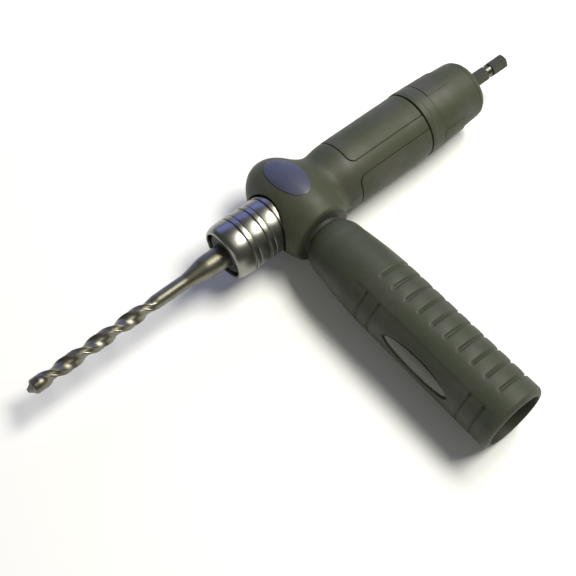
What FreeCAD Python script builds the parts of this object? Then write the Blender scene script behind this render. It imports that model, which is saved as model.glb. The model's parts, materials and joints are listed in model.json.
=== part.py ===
import FreeCAD, Part
import math
import os

import Sketcher
from FreeCAD import Placement, Rotation, Vector

# Percussion drilling attachment for a power drill: a hex-driven body with a spring-loaded
# striker, a quick-release bit holder in front and a screw-in side handle.
#
# Frame: the origin is the centre of the drive shank's end face, +X runs out of that end along
# the tool axis, the bit points to -X, the side handle to -Y and +Z is up.
# Stations along the tool ("along") are counted from the side handle's axis, + to the rear, and
# stations along the handle from the tool axis, + away from it. All sizes are millimetres.

SIZES = {
    # body of the tool
    "shank_end": 126.0,
    "hub_half_length": 16.8,
    "hub_half_height": 17.9,
    "hub_half_width": 28.0,
    "hub_shift": 2.6,
    "hub_handle_face": 18.6,
    "hub_front": -17.4,
    "seat_radius": 13.1,
    "grip_start": 6.0,
    "grip_shoulder": 17.0,
    "grip_shoulder_radius": 14.2,
    "pad_front": 25.5,
    "pad_bed_radius": 14.4,
    "pad_radius": 15.4,
    "pad_gap": 0.3,
    "pad_angle": 93.0,
    "strip_angle": 25.0,
    "strip_radius": 15.25,
    "pad_middle_angle": -21.5,
    "grip_end": 66.2,
    "spigot_length": 7.8,
    "spigot_radius": 13.4,
    "cavity_front": 11.0,
    "cavity_radius": 12.0,
    # rear cap
    "cap_gap": 0.6,
    "cap_radius": 15.5,
    "cap_lip_radius": 15.7,
    "cap_lip": 3.4,
    "cover_front": 74.2,
    "cover_rear": 97.6,
    "cover_bed_radius": 14.0,
    "cover_bed_rear_radius": 12.8,
    "cover_radius": 15.5,
    "cover_step_rear": 87.6,
    "cover_step_radius": 14.9,
    "cover_step": 0.45,
    "cover_rear_radius": 13.8,
    "cover_gap_angle": 72.0,
    "cover_gap_middle": 41.0,
    "cap_corner": 3.6,
    "cap_end": 101.2,
    "cap_end_radius": 10.3,
    "cap_hole_radius": 4.6,
    # badge on top of the hub
    "badge_half_length": 12.6,
    "badge_half_width": 6.9,
    "badge_along": 0.2,
    "badge_across": 4.6,
    "badge_depth": 0.7,
    "badge_proud": 0.3,
    # front bush and seal
    "seal_front": -4.6,
    "seal_rear": -1.8,
    "seal_radius": 12.0,
    "bush_rear": 10.0,
    "bush_radius": 11.0,
    "journal_radius": 9.0,
    "journal_play": 0.05,
    "seal_lip_play": 0.1,
    # bit holder spindle
    "spindle_front": -36.5,
    "spindle_radius": 8.0,
    "journal_front": -5.4,
    "barrel_front": 11.0,
    "barrel_radius": 11.2,
    "barrel_rear": 38.0,
    "barrel_bore_front": 22.0,
    "barrel_bore_radius": 7.5,
    "bit_bore_radius": 5.05,
    "ball_station": -21.0,
    "ball_radius": 2.5,
    "ball_centre": 6.2,
    "ball_window_radius": 2.56,
    # parts on the spindle's nose
    "ring_front": -32.6,
    "ring_rear": -31.5,
    "ring_radius": 9.7,
    "ring_groove_radius": 7.4,
    "cap_nose_front": -37.2,
    "cap_nose_rear": -33.0,
    "cap_nose_radius": 9.8,
    "cap_nose_lip": 5.15,
    "spring_seat_front": -6.5,
    "spring_seat_radius": 10.7,
    # sleeve of the bit holder
    "sleeve_front": -38.1,
    "sleeve_front_radius": 11.3,
    "sleeve_shoulder": -34.0,
    "sleeve_radius": 12.5,
    "sleeve_rear": -10.8,
    "sleeve_mouth_radius": 10.2,
    "sleeve_stop_front": -31.35,
    "sleeve_stop_rear": -29.3,
    "sleeve_stop_radius": 8.2,
    "sleeve_recess_radius": 10.7,
    "sleeve_cone_front": -27.0,
    "sleeve_cone_rear": -19.8,
    "sleeve_cone_radius": 8.65,
    "sleeve_cone_rear_wall": -18.6,
    "sleeve_chamber_radius": 11.0,
    "groove_depth": 0.7,
    "groove_width": 0.9,
    "fine_groove_depth": 0.35,
    "fine_groove_width": 0.45,
    "groove_front": -30.3,
    "groove_pitch": 7.9,
    "fine_groove_offset": 3.0,
    # striker, anvil and ratchet
    "anvil_nose": 19.2,
    "anvil_nose_radius": 4.9,
    "anvil_face": 23.0,
    "anvil_radius": 7.4,
    "anvil_rear": 30.0,
    "anvil_ring_station": 26.5,
    "anvil_ring_section": 0.8,
    "striker_front": 30.3,
    "striker_radius": 7.4,
    "striker_flange_front": 48.0,
    "striker_flange_rear": 53.0,
    "striker_flange_radius": 11.0,
    "striker_tail_radius": 6.6,
    "striker_tail_rear": 64.0,
    "striker_socket_front": 46.0,
    "ratchet_front": 40.2,
    "ratchet_rear": 47.7,
    "ratchet_bore_radius": 7.9,
    "tooth_width": 3.2,
    "tooth_height": 2.0,
    "tooth_play": 0.25,
    "tooth_sink": 0.1,
    "tooth_inner": 8.6,
    "washer_radius": 11.6,
    "washer_bore_radius": 8.2,
    "washer_front": 38.2,
    "washer_rear": 39.9,
    "front_washer_front": 10.1,
    "front_washer_rear": 10.9,
    "key_width": 3.0,
    "key_depth": 2.0,
    "key_front": 31.0,
    "key_rear": 35.5,
    "key_play": 0.06,
    "key_slot_front": 29.0,
    # drive shaft and its bearing
    "hex_flats": 6.35,
    "hex_play": 0.12,
    "shaft_front": 50.0,
    "shaft_collar_front": 76.4,
    "shaft_collar_radius": 10.2,
    "shaft_step_front": 79.4,
    "shaft_step_radius": 5.6,
    "shaft_journal_front": 85.4,
    "shaft_journal_radius": 4.0,
    "shaft_journal_rear": 97.4,
    "shank_groove_front": 113.8,
    "shank_groove_rear": 117.2,
    "shank_groove_radius": 2.75,
    "shank_chamfer": 0.7,
    "shank_end_radius": 2.7,
    "bearing_front": 85.4,
    "bearing_width": 7.0,
    "bearing_middle": 88.9,
    "bearing_radius": 11.0,
    "bearing_outer_bore": 9.1,
    "bearing_inner_land": 5.9,
    "bearing_pitch_radius": 7.5,
    "bearing_ball_radius": 1.98,
    "race_radius": 2.04,
    "circlip_front": 92.5,
    "circlip_thickness": 1.0,
    "circlip_radius": 5.9,
    "circlip_groove_radius": 3.6,
    "rear_seal_front": 95.0,
    "rear_seal_rear": 98.4,
    "rear_seal_radius": 9.0,
    "cap_front_room": 12.5,
    # springs
    "hammer_spring_front": 53.2,
    "hammer_spring_rear": 76.2,
    "hammer_spring_radius": 8.9,
    "hammer_spring_wire": 0.9,
    "hammer_spring_turns": 7.0,
    "sleeve_spring_front": -18.5,
    "sleeve_spring_rear": -6.6,
    "sleeve_spring_radius": 9.6,
    "sleeve_spring_wire": 0.45,
    "sleeve_spring_turns": 5.0,
    # masonry bit
    "bit_tip": -131.8,
    "bit_flute_radius": 3.25,
    "bit_plain_front": -74.0,
    "bit_plain_radius": 3.0,
    "bit_cone_front": -56.7,
    "bit_cone_rear": -46.7,
    "bit_shank_radius": 5.0,
    "bit_shank_rear": 18.2,
    "bit_end_chamfer": 0.9,
    "bit_point": 2.6,
    "bit_point_back": 1.0,
    "pocket_front": -22.4,
    "pocket_rear": -12.6,
    "pocket_radius": 2.56,
    "slot_front": -9.0,
    "slot_width": 3.0,
    "slot_floor": 3.4,
    "holder_key_front": -8.0,
    "holder_key_rear": 14.0,
    "holder_key_width": 2.7,
    "holder_key_inner": 3.6,
    "holder_key_outer": 6.6,
    "tip_half_width": 3.5,
    "tip_thickness": 1.7,
    "tip_depth": 5.4,
    # side handle, stations counted from the tool axis
    "insert_inner": 12.6,
    "insert_radius": 6.5,
    "thread_radius": 4.0,
    "thread_play": 0.08,
    "washer_thickness": 1.8,
    "neck_radius": 9.6,
    "handle_gap": 0.1,
    "handle_nose": 20.6,
    "handle_nose_radius": 9.9,
    "handle_shoulder": 30.0,
    "handle_shoulder_radius": 13.2,
    "handle_nose_arc": 14.0,
    "handle_flank_arc": 234.0,
    "handle_straight": 62.0,
    "handle_radius": 15.4,
    "handle_end": 127.0,
    "handle_end_round": 2.5,
    "handle_mouth_radius": 12.5,
    "handle_mouth_depth": 4.0,
    "core_radius": 12.2,
    "core_bore_radius": 9.6,
    "core_front": 32.0,
    "core_bulkhead": 54.0,
    "stud_inner": 13.2,
    "stud_outer": 44.0,
    "stud_head_outer": 50.0,
    "stud_head_flats": 12.8,
    "rib_first": 55.0,
    "rib_pitch": 7.0,
    "rib_depth": 0.7,
    "rib_width": 1.3,
    "rib_arc": 226.0,
    "rib_middle_angle": -103.0,
    "inlay_middle": 87.5,
    "inlay_half_length": 17.5,
    "inlay_half_width": 4.6,
    "inlay_depth": 1.2,
    "inlay_angle": 77.0,
    "short_rib_arc": 78.0,
    "plug_front": 120.0,
    "plug_rear": 122.5,
    "plug_hole_radius": 2.5,
}

RIB_COUNT = 10
OUTER_RIBS = (0, 1, 8, 9)
RATCHET_TEETH = 12
PANEL_COUNT = 3
COVER_PANELS = 2
BEARING_BALL_COUNT = 7
GROOVE_SETS = 3

doc = FreeCAD.newDocument("percussion_attachment")
sheet = doc.addObject("Spreadsheet::Sheet", "Sizes")
for row, (alias, number) in enumerate(SIZES.items(), 1):
    sheet.set(f"A{row}", alias)
    sheet.set(f"B{row}", str(number))
    sheet.setAlias(f"B{row}", alias)
doc.recompute()

NODES = []


# ---- formulas ------------------------------------------------------------------------------

def value_of(formula):
    """The number that a formula of named sizes, plus and minus signs stands for."""
    total = 0.0
    sign = 1.0
    for word in formula.split():
        if word in ("+", "-"):
            sign = 1.0 if word == "+" else -1.0
        else:
            total += sign * SIZES[word]
    return total


def cells(formula):
    """The same formula written with the sheet's cells, for setExpression."""
    words = formula.split()
    return " ".join(word if word in ("+", "-") else f"Sizes.{word}" for word in words)


# ---- sketches and bodies -------------------------------------------------------------------

def new_body(label):
    """An empty body that is handed in as a node of that name."""
    body = doc.addObject("PartDesign::Body", label)
    body.Label = label
    return body


def sketch_on(body, name, plane):
    """A sketch on one of the body's own origin planes."""
    sketch = body.newObject("Sketcher::SketchObject", name)
    support = [item for item in body.Origin.OriginFeatures if item.Role == plane][0]
    sketch.AttachmentSupport = [(support, "")]
    sketch.MapMode = "FlatFace"
    return sketch


def pin_point(sketch, edge, end, along, out):
    """Hold one end of an edge at two formulas, or on the axis where out is None."""
    held = sketch.addConstraint(Sketcher.Constraint("DistanceX", -1, 1, edge, end, value_of(along)))
    sketch.setExpression(f"Constraints[{held}]", cells(along))
    if out is None:
        sketch.addConstraint(Sketcher.Constraint("PointOnObject", edge, end, -1))
        return
    held = sketch.addConstraint(Sketcher.Constraint("DistanceY", -1, 1, edge, end, value_of(out)))
    sketch.setExpression(f"Constraints[{held}]", cells(out))


def arc_between(start, end, radius):
    """The arc of a radius from start to end that bulges to the left of the way there."""
    half = (end - start) * 0.5
    reach = math.sqrt(radius ** 2 - half.Length ** 2)
    right = Vector(half.y, -half.x, 0).normalize()
    centre = start + half + right * reach
    circle = Part.Circle(centre, Vector(0, 0, 1), radius)
    return Part.ArcOfCircle(circle, circle.parameter(end), circle.parameter(start))


def draw_outline(sketch, corners):
    """A closed outline through (along, out) formulas.

    A third formula in a corner makes the edge after it an arc of that radius, bulging outwards.
    """
    points = [Vector(value_of(corner[0]), 0.0 if corner[1] is None else value_of(corner[1]), 0)
              for corner in corners]
    count = len(points)
    ends = []
    for edge, corner in enumerate(corners):
        following = points[(edge + 1) % count]
        if len(corner) == 3:
            sketch.addGeometry(arc_between(points[edge], following, value_of(corner[2])), False)
            ends.append((2, 1))
        else:
            sketch.addGeometry(Part.LineSegment(points[edge], following), False)
            ends.append((1, 2))
    for edge in range(count):
        following = (edge + 1) % count
        joined = Sketcher.Constraint("Coincident", edge, ends[edge][1], following, ends[following][0])
        sketch.addConstraint(joined)
    for edge, corner in enumerate(corners):
        pin_point(sketch, edge, ends[edge][0], corner[0], corner[1])
        if len(corner) == 3:
            held = sketch.addConstraint(Sketcher.Constraint("Radius", edge, value_of(corner[2])))
            sketch.setExpression(f"Constraints[{held}]", cells(corner[2]))


def draw_circle(sketch, along, out, radius):
    """A full circle with its centre at two formulas."""
    centre = Vector(value_of(along), 0.0 if out is None else value_of(out), 0)
    circle = sketch.addGeometry(Part.Circle(centre, Vector(0, 0, 1), value_of(radius)), False)
    pin_point(sketch, circle, 3, along, out)
    held = sketch.addConstraint(Sketcher.Constraint("Radius", circle, value_of(radius)))
    sketch.setExpression(f"Constraints[{held}]", cells(radius))


def turn(body, sketch, name, angle="", cut=False):
    """Turn a sketch about its own horizontal axis, all round or through a named angle."""
    kind = "PartDesign::Groove" if cut else "PartDesign::Revolution"
    before = body.Shape.Volume if cut else 0.0
    feature = body.newObject(kind, name)
    feature.Profile = sketch
    feature.ReferenceAxis = (sketch, ["H_Axis"])
    feature.Angle = 360.0
    if angle:
        feature.setExpression("Angle", cells(angle))
        feature.Midplane = True
    doc.recompute()
    if cut and body.Shape.Volume >= before:
        raise ValueError(name + " cuts nothing")
    return feature


def turned_body(label, corners, plane="XZ_Plane"):
    """A body turned all round from one closed outline."""
    body = new_body(label)
    sketch = sketch_on(body, label + "_outline", plane)
    draw_outline(sketch, corners)
    turn(body, sketch, label + "_turned")
    return body


def ring(label, front, rear, inner, outer, plane="XZ_Plane"):
    """A plain ring between two stations and two radii."""
    corners = [(front, inner), (front, outer), (rear, outer), (rear, inner)]
    return turned_body(label, corners, plane)


def groove(body, name, corners, plane="XZ_Plane", angle=""):
    """Cut a turned groove, all round or through a named angle."""
    sketch = sketch_on(body, name + "_outline", plane)
    draw_outline(sketch, corners)
    return turn(body, sketch, name, angle, cut=True)


# ---- plain shapes --------------------------------------------------------------------------

def part_object(kind, name, **formulas):
    """A Part primitive whose sizes are bound to the sheet."""
    item = doc.addObject("Part::" + kind, name)
    for key, formula in formulas.items():
        item.setExpression(key, cells(formula))
    return item


def cut(name, base, tool):
    """One shape less another."""
    item = doc.addObject("Part::Cut", name)
    item.Base = base
    item.Tool = tool
    doc.recompute()
    return item


def common(name, base, tool):
    """What two shapes share."""
    item = doc.addObject("Part::Common", name)
    item.Base = base
    item.Tool = tool
    doc.recompute()
    return item


def fuse(name, *shapes):
    """Several shapes made one."""
    item = doc.addObject("Part::MultiFuse", name)
    item.Shapes = list(shapes)
    doc.recompute()
    return item


def group(label, shapes):
    """Separate solids handed in as one node."""
    item = doc.addObject("Part::Compound", label)
    item.Links = list(shapes)
    doc.recompute()
    return item


def hand_in(item, label, turned_by=0.0, on_handle=False):
    """Place a finished piece in the part's frame and list it as a node.

    Pieces are drawn along +X. The handle's pieces are then swung round to point along -Y.
    """
    item.Label = label
    swing = Rotation(Vector(0, 0, 1), -90.0 if on_handle else 0.0)
    item.Placement = Placement(Vector(), swing * Rotation(Vector(1, 0, 0), turned_by))
    item.setExpression("Placement.Base.x", "-Sizes.shank_end")
    NODES.append(item)
    return item


def ellipsoid(name, swell):
    """The hub's body, grown by a formula's value on every half axis."""
    item = part_object(
        "Ellipsoid", name,
        Radius1="hub_half_height" + swell,
        Radius2="hub_half_length" + swell,
        Radius3="hub_half_width" + swell)
    item.setExpression("Placement.Base.y", "-Sizes.hub_shift")
    item.Angle1 = -90
    item.Angle2 = 90
    doc.recompute()
    return item


# ---- housing -------------------------------------------------------------------------------

def draw_oval(sketch, along, out, half_long, half_wide, upright):
    """An oval held by formulas for its centre and half lengths, long side up or along."""
    centre = Vector(value_of(along), 0.0 if out is None else value_of(out), 0)
    long_way = Vector(0, 1, 0) if upright else Vector(1, 0, 0)
    wide_way = Vector(-1, 0, 0) if upright else Vector(0, 1, 0)
    major = centre + long_way * value_of(half_long)
    minor = centre + wide_way * value_of(half_wide)
    sketch.addGeometry(Part.Ellipse(major, minor, centre), False)
    pin_point(sketch, 0, 3, along, out)
    sketch.exposeInternalGeometry(0)
    for line, formula in ((1, half_long), (2, half_wide)):
        held = sketch.addConstraint(Sketcher.Constraint("Distance", line, 2 * value_of(formula)))
        sketch.setExpression(f"Constraints[{held}]", f"2 * {cells(formula)}")
    sketch.addConstraint(Sketcher.Constraint("Vertical" if upright else "Horizontal", 1))


def badge_prism(name):
    """An upright oval prism that stands where the badge sits."""
    body = new_body(name)
    sketch = sketch_on(body, name + "_oval", "XY_Plane")
    draw_oval(sketch, "badge_along", "badge_across", "badge_half_length", "badge_half_width", True)
    pad = body.newObject("PartDesign::Pad", name + "_pad")
    pad.Profile = sketch
    pad.setExpression("Length", "2 * Sizes.hub_half_height")
    doc.recompute()
    return body


def make_main_housing():
    """Hub, neck and grip tube in one moulding, bored for the works inside."""
    trim = part_object("Box", "hub_trim")
    for side in ("Length", "Width", "Height"):
        trim.setExpression(side, "2 * Sizes.hub_half_width")
    trim.setExpression("Placement.Base.x", "-Sizes.hub_half_width")
    trim.setExpression("Placement.Base.y", "-Sizes.hub_handle_face - 2 * Sizes.hub_half_width")
    trim.setExpression("Placement.Base.z", "-Sizes.hub_half_width")
    hub = cut("hub_trimmed", ellipsoid("hub_body", ""), trim)
    tube = turned_body("grip_tube", [
        ("grip_start", None),
        ("grip_start", "spigot_radius"),
        ("cavity_front", "grip_shoulder_radius"),
        ("grip_shoulder", "grip_shoulder_radius"),
        ("pad_front", "strip_radius"),
        ("pad_front", "pad_bed_radius"),
        ("grip_end", "pad_bed_radius"),
        ("grip_end", "spigot_radius"),
        ("grip_end + spigot_length", "spigot_radius"),
        ("grip_end + spigot_length", None)])
    pieces = [hub, tube]
    for number in range(PANEL_COUNT):
        strip = new_body(f"grip_strip_{number}")
        sketch = sketch_on(strip, f"grip_strip_{number}_outline", "XZ_Plane")
        draw_outline(sketch, [
            ("pad_front", "spigot_radius"),
            ("pad_front", "strip_radius"),
            ("grip_end", "strip_radius"),
            ("grip_end", "spigot_radius")])
        turn(strip, sketch, f"grip_strip_{number}_turned", "strip_angle")
        middle = value_of("pad_middle_angle") + (number + 0.5) * 360.0 / PANEL_COUNT
        strip.Placement = Placement(Vector(), Rotation(Vector(1, 0, 0), middle))
        pieces.append(strip)
    doc.recompute()
    bores = turned_body("housing_bores", [
        ("hub_front", None),
        ("hub_front", "seat_radius"),
        ("seal_front", "seat_radius"),
        ("seal_front", "seal_radius"),
        ("seal_rear", "seal_radius"),
        ("seal_rear", "bush_radius"),
        ("cavity_front", "bush_radius"),
        ("cavity_front", "cavity_radius"),
        ("grip_end + spigot_length + cap_gap", "cavity_radius"),
        ("grip_end + spigot_length + cap_gap", None)])
    thread = part_object("Cylinder", "insert_bore", Radius="insert_radius",
                         Height="hub_half_width")
    thread.Placement = Placement(Vector(), Rotation(Vector(1, 0, 0), 90))
    doc.recompute()
    solid = fuse("housing_solid", *pieces)
    floor = ellipsoid("badge_floor", " - badge_depth")
    badge_room = cut("badge_room", badge_prism("badge_room_prism"), floor)
    hollow = cut("housing_bored", solid, bores)
    hollow = cut("housing_threaded", hollow, thread)
    return hand_in(cut("main_housing", hollow, badge_room), "main_housing")


def make_badge():
    """Plain oval plate let into the top of the hub and curved like it."""
    plate = common("badge_plate", badge_prism("badge_prism"), ellipsoid("badge_top", " + badge_proud"))
    floor = ellipsoid("badge_bottom", " - badge_depth")
    return hand_in(cut("badge", plate, floor), "badge")


def make_grip_pads():
    """Three soft pads that fill the beds between the grip's smooth strips."""
    for number, place in enumerate(("upper", "lower", "side")):
        label = "grip_pad_" + place
        body = new_body(label)
        sketch = sketch_on(body, label + "_outline", "XZ_Plane")
        draw_outline(sketch, [
            ("pad_front + pad_gap", "pad_bed_radius"),
            ("pad_front + pad_gap", "pad_radius"),
            ("grip_end", "pad_radius"),
            ("grip_end", "pad_bed_radius")])
        turn(body, sketch, label + "_turned", "pad_angle")
        middle = value_of("pad_middle_angle") + number * 360.0 / PANEL_COUNT
        hand_in(body, label, middle)


def make_rear_cap():
    """Rear casing that screws over the grip's spigot and carries the bearing."""
    body = turned_body("rear_cap", [
        ("grip_end + cap_gap", "spigot_radius + journal_play"),
        ("grip_end + cap_gap", "cap_lip_radius"),
        ("grip_end + cap_lip", "cap_lip_radius"),
        ("grip_end + cap_lip", "cap_radius"),
        ("cover_front", "cap_radius"),
        ("cover_front", "cover_bed_radius"),
        ("cover_rear", "cover_bed_rear_radius"),
        ("cover_rear", "cover_rear_radius", "cap_corner"),
        ("cap_end", "cap_end_radius"),
        ("cap_end", "cap_hole_radius"),
        ("rear_seal_rear", "cap_hole_radius"),
        ("rear_seal_rear", "rear_seal_radius"),
        ("bearing_front + bearing_width", "rear_seal_radius"),
        ("bearing_front + bearing_width", "bearing_radius"),
        ("bearing_front", "bearing_radius"),
        ("bearing_front", "cap_front_room"),
        ("grip_end + spigot_length + cap_gap", "cap_front_room"),
        ("grip_end + spigot_length + cap_gap", "spigot_radius + journal_play")])
    return hand_in(body, "rear_cap")


def make_rear_cap_cover():
    """Soft skin of the rear cap: a full ring with two raised panels at its front."""
    body = turned_body("rear_cap_cover", [
        ("cover_front", "cover_bed_radius"),
        ("cover_front", "cover_radius"),
        ("cover_step_rear", "cover_step_radius"),
        ("cover_step_rear", "cover_step_radius - cover_step"),
        ("cover_rear", "cover_rear_radius"),
        ("cover_rear", "cover_bed_rear_radius")])
    for number in range(COVER_PANELS):
        middle = value_of("cover_gap_middle") + number * 360.0 / COVER_PANELS
        name = f"cover_gap_{number}"
        sketch = sketch_on(body, name + "_outline", "XZ_Plane")
        draw_outline(sketch, [
            ("cover_front", "cover_radius - cover_step"),
            ("cover_front", "cover_radius + cap_gap"),
            ("cover_step_rear", "cover_radius + cap_gap"),
            ("cover_step_rear", "cover_step_radius - cover_step")])
        sketch.AttachmentOffset = Placement(Vector(), Rotation(Vector(1, 0, 0), middle))
        doc.recompute()
        turn(body, sketch, name, "cover_gap_angle", cut=True)
    return hand_in(body, "rear_cap_cover")


# ---- bush, seals, bearing ------------------------------------------------------------------

def make_fixed_rings():
    """The bush and seals that stay in the housing."""
    hand_in(ring("front_seal", "seal_front", "seal_rear", "journal_radius + seal_lip_play",
                 "seal_radius"), "front_seal")
    hand_in(ring("spindle_bush", "seal_rear", "bush_rear", "journal_radius + journal_play",
                 "bush_radius"), "spindle_bush")
    hand_in(ring("rear_seal", "rear_seal_front", "rear_seal_rear",
                 "shaft_journal_radius + seal_lip_play", "rear_seal_radius"), "rear_seal")


def race_groove(body, name, label):
    """Turn the ball track into a bearing ring."""
    sketch = sketch_on(body, name, "XZ_Plane")
    draw_circle(sketch, "bearing_middle", "bearing_pitch_radius", "race_radius")
    turn(body, sketch, label + "_track", cut=True)


def make_bearing():
    """Single-row ball bearing of the 8 x 22 x 7 mm size."""
    outer = ring("bearing_outer_ring", "bearing_front", "bearing_front + bearing_width",
                 "bearing_outer_bore", "bearing_radius")
    race_groove(outer, "outer_track_outline", "outer")
    hand_in(outer, "bearing_outer_ring")
    inner = ring("bearing_inner_ring", "bearing_front", "bearing_front + bearing_width",
                 "shaft_journal_radius", "bearing_inner_land")
    race_groove(inner, "inner_track_outline", "inner")
    hand_in(inner, "bearing_inner_ring")
    balls = []
    for number in range(BEARING_BALL_COUNT):
        angle = number * 360.0 / BEARING_BALL_COUNT
        ball = part_object("Sphere", f"bearing_ball_{number}", Radius="bearing_ball_radius")
        ball.setExpression("Placement.Base.x", "Sizes.bearing_middle")
        ball.setExpression("Placement.Base.y", f"Sizes.bearing_pitch_radius * cos({angle} deg)")
        ball.setExpression("Placement.Base.z", f"Sizes.bearing_pitch_radius * sin({angle} deg)")
        balls.append(ball)
    doc.recompute()
    return hand_in(group("bearing_balls", balls), "bearing_balls")


# ---- bit holder ----------------------------------------------------------------------------

def holder_keys(name):
    """The two keys in the holder's bore that turn the bit."""
    keys = []
    for number, turned_by in enumerate((0.0, 180.0)):
        key = part_object("Box", f"{name}_{number}", Width="holder_key_outer - holder_key_inner",
                          Height="holder_key_width", Length="holder_key_rear - holder_key_front")
        base = Vector(value_of("holder_key_front"), value_of("holder_key_inner"),
                      -value_of("holder_key_width") / 2)
        flip = Rotation(Vector(1, 0, 0), turned_by)
        key.Placement = Placement(flip.multVec(base), flip)
        keys.append(key)
    doc.recompute()
    return keys


def make_spindle():
    """Bit holder, front journal and striker barrel in one steel turning."""
    body = turned_body("spindle_turning", [
        ("spindle_front", "bit_bore_radius"),
        ("spindle_front", "spindle_radius"),
        ("journal_front", "spindle_radius"),
        ("journal_front", "journal_radius"),
        ("barrel_front", "journal_radius"),
        ("barrel_front", "barrel_radius"),
        ("barrel_rear", "barrel_radius"),
        ("barrel_rear", "barrel_bore_radius"),
        ("barrel_bore_front", "barrel_bore_radius"),
        ("barrel_bore_front", "bit_bore_radius")])
    groove(body, "ring_seat", [
        ("ring_front", "ring_groove_radius"),
        ("ring_front", "sleeve_radius"),
        ("ring_rear", "sleeve_radius"),
        ("ring_rear", "ring_groove_radius")])
    sketch = sketch_on(body, "ball_window_outline", "XY_Plane")
    draw_circle(sketch, "ball_station", None, "ball_window_radius")
    drill_through(body, sketch, "ball_windows")
    slots = []
    for number, side in enumerate((1, -1)):
        slot = part_object("Box", f"striker_key_slot_{number}",
                           Length="barrel_rear - key_slot_front",
                           Width="key_depth + key_play + key_play",
                           Height="key_width + key_play + key_play")
        out = value_of("barrel_bore_radius - tooth_sink - tooth_sink")
        low = out if side > 0 else -out - value_of("key_depth + key_play + key_play")
        slot.Placement.Base = Vector(value_of("key_slot_front"), low,
                                     -value_of("key_width + key_play + key_play") / 2)
        slots.append(slot)
    doc.recompute()
    slotted = cut("spindle_slotted", body, fuse("striker_key_slots", *slots))
    keyed = cut("spindle", slotted, fuse("holder_key_seats", *holder_keys("holder_key_seat")))
    hand_in(keyed, "spindle")
    hand_in(group("bit_drive_keys", holder_keys("bit_drive_key")), "bit_drive_keys")


def drill_through(body, sketch, name):
    """Cut a sketch through the body both ways."""
    before = body.Shape.Volume
    pocket = body.newObject("PartDesign::Pocket", name)
    pocket.Profile = sketch
    pocket.Type = "ThroughAll"
    pocket.Midplane = True
    doc.recompute()
    if body.Shape.Volume >= before:
        raise ValueError(name + " cuts nothing")
    return pocket


def make_nose_parts():
    """What sits on the spindle's nose: dust cap, retaining ring and the spring's seat."""
    cap = turned_body("dust_cap", [
        ("cap_nose_front", "cap_nose_lip"),
        ("cap_nose_front", "journal_radius"),
        ("cap_nose_rear", "cap_nose_radius"),
        ("cap_nose_rear", "spindle_radius"),
        ("spindle_front", "spindle_radius"),
        ("spindle_front", "cap_nose_lip")])
    hand_in(cap, "dust_cap")
    hand_in(ring("sleeve_stop_ring", "ring_front", "ring_rear", "ring_groove_radius",
                 "ring_radius"), "sleeve_stop_ring")
    hand_in(ring("spring_seat_washer", "spring_seat_front", "journal_front", "spindle_radius",
                 "spring_seat_radius"), "spring_seat_washer")
    hand_in(ring("front_thrust_washer", "front_washer_front", "front_washer_rear",
                 "journal_radius + seal_lip_play", "spring_seat_radius"), "front_thrust_washer")
    hand_in(ring("rear_thrust_washer", "washer_front", "washer_rear", "washer_bore_radius",
                 "washer_radius"), "rear_thrust_washer")


def make_sleeve():
    """Steel sleeve that is pulled back to let the bit go."""
    body = turned_body("chuck_sleeve", [
        ("sleeve_front", "sleeve_mouth_radius"),
        ("sleeve_front", "sleeve_front_radius"),
        ("sleeve_shoulder", "sleeve_radius"),
        ("sleeve_rear", "sleeve_radius"),
        ("sleeve_rear", "sleeve_chamber_radius"),
        ("sleeve_cone_rear_wall", "sleeve_chamber_radius"),
        ("sleeve_cone_rear_wall", "sleeve_cone_radius"),
        ("sleeve_cone_rear", "sleeve_cone_radius"),
        ("sleeve_cone_front", "sleeve_recess_radius"),
        ("sleeve_stop_rear", "sleeve_recess_radius"),
        ("sleeve_stop_rear", "sleeve_stop_radius"),
        ("sleeve_stop_front", "sleeve_stop_radius"),
        ("sleeve_stop_front", "sleeve_mouth_radius")])
    sleeve_groove(body, "wide_groove", "groove_front", "groove_width", "groove_depth", GROOVE_SETS)
    sleeve_groove(body, "fine_groove", "groove_front + fine_groove_offset", "fine_groove_width",
                  "fine_groove_depth", GROOVE_SETS - 1)
    hand_in(body, "chuck_sleeve")


def sleeve_groove(body, name, middle, width, depth, count):
    """A row of turned grooves at the sleeve's pitch."""
    before = body.Shape.Volume
    cut_once = groove(body, name, [
        (middle, "sleeve_radius - " + depth),
        (middle, "seat_radius"),
        (middle + " + " + width, "seat_radius"),
        (middle + " + " + width, "sleeve_radius - " + depth)])
    pattern = body.newObject("PartDesign::LinearPattern", name + "_row")
    pattern.Originals = [cut_once]
    along = [item for item in body.Origin.OriginFeatures if item.Role == "X_Axis"][0]
    pattern.Direction = (along, [""])
    pattern.Occurrences = count
    pattern.setExpression("Length", f"{count - 1} * Sizes.groove_pitch")
    body.Tip = pattern
    doc.recompute()
    if body.Shape.Volume >= before:
        raise ValueError(name + " cuts nothing")


def make_lock_balls():
    """The two balls that hold the bit in its holder."""
    for place, side in (("upper", 1), ("lower", -1)):
        ball = part_object("Sphere", "lock_ball_" + place, Radius="ball_radius")
        hand_in(ball, "lock_ball_" + place)
        ball.setExpression("Placement.Base.x", "Sizes.ball_station - Sizes.shank_end")
        ball.setExpression("Placement.Base.z", f"{side} * Sizes.ball_centre")
    doc.recompute()


# ---- springs -------------------------------------------------------------------------------

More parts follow.
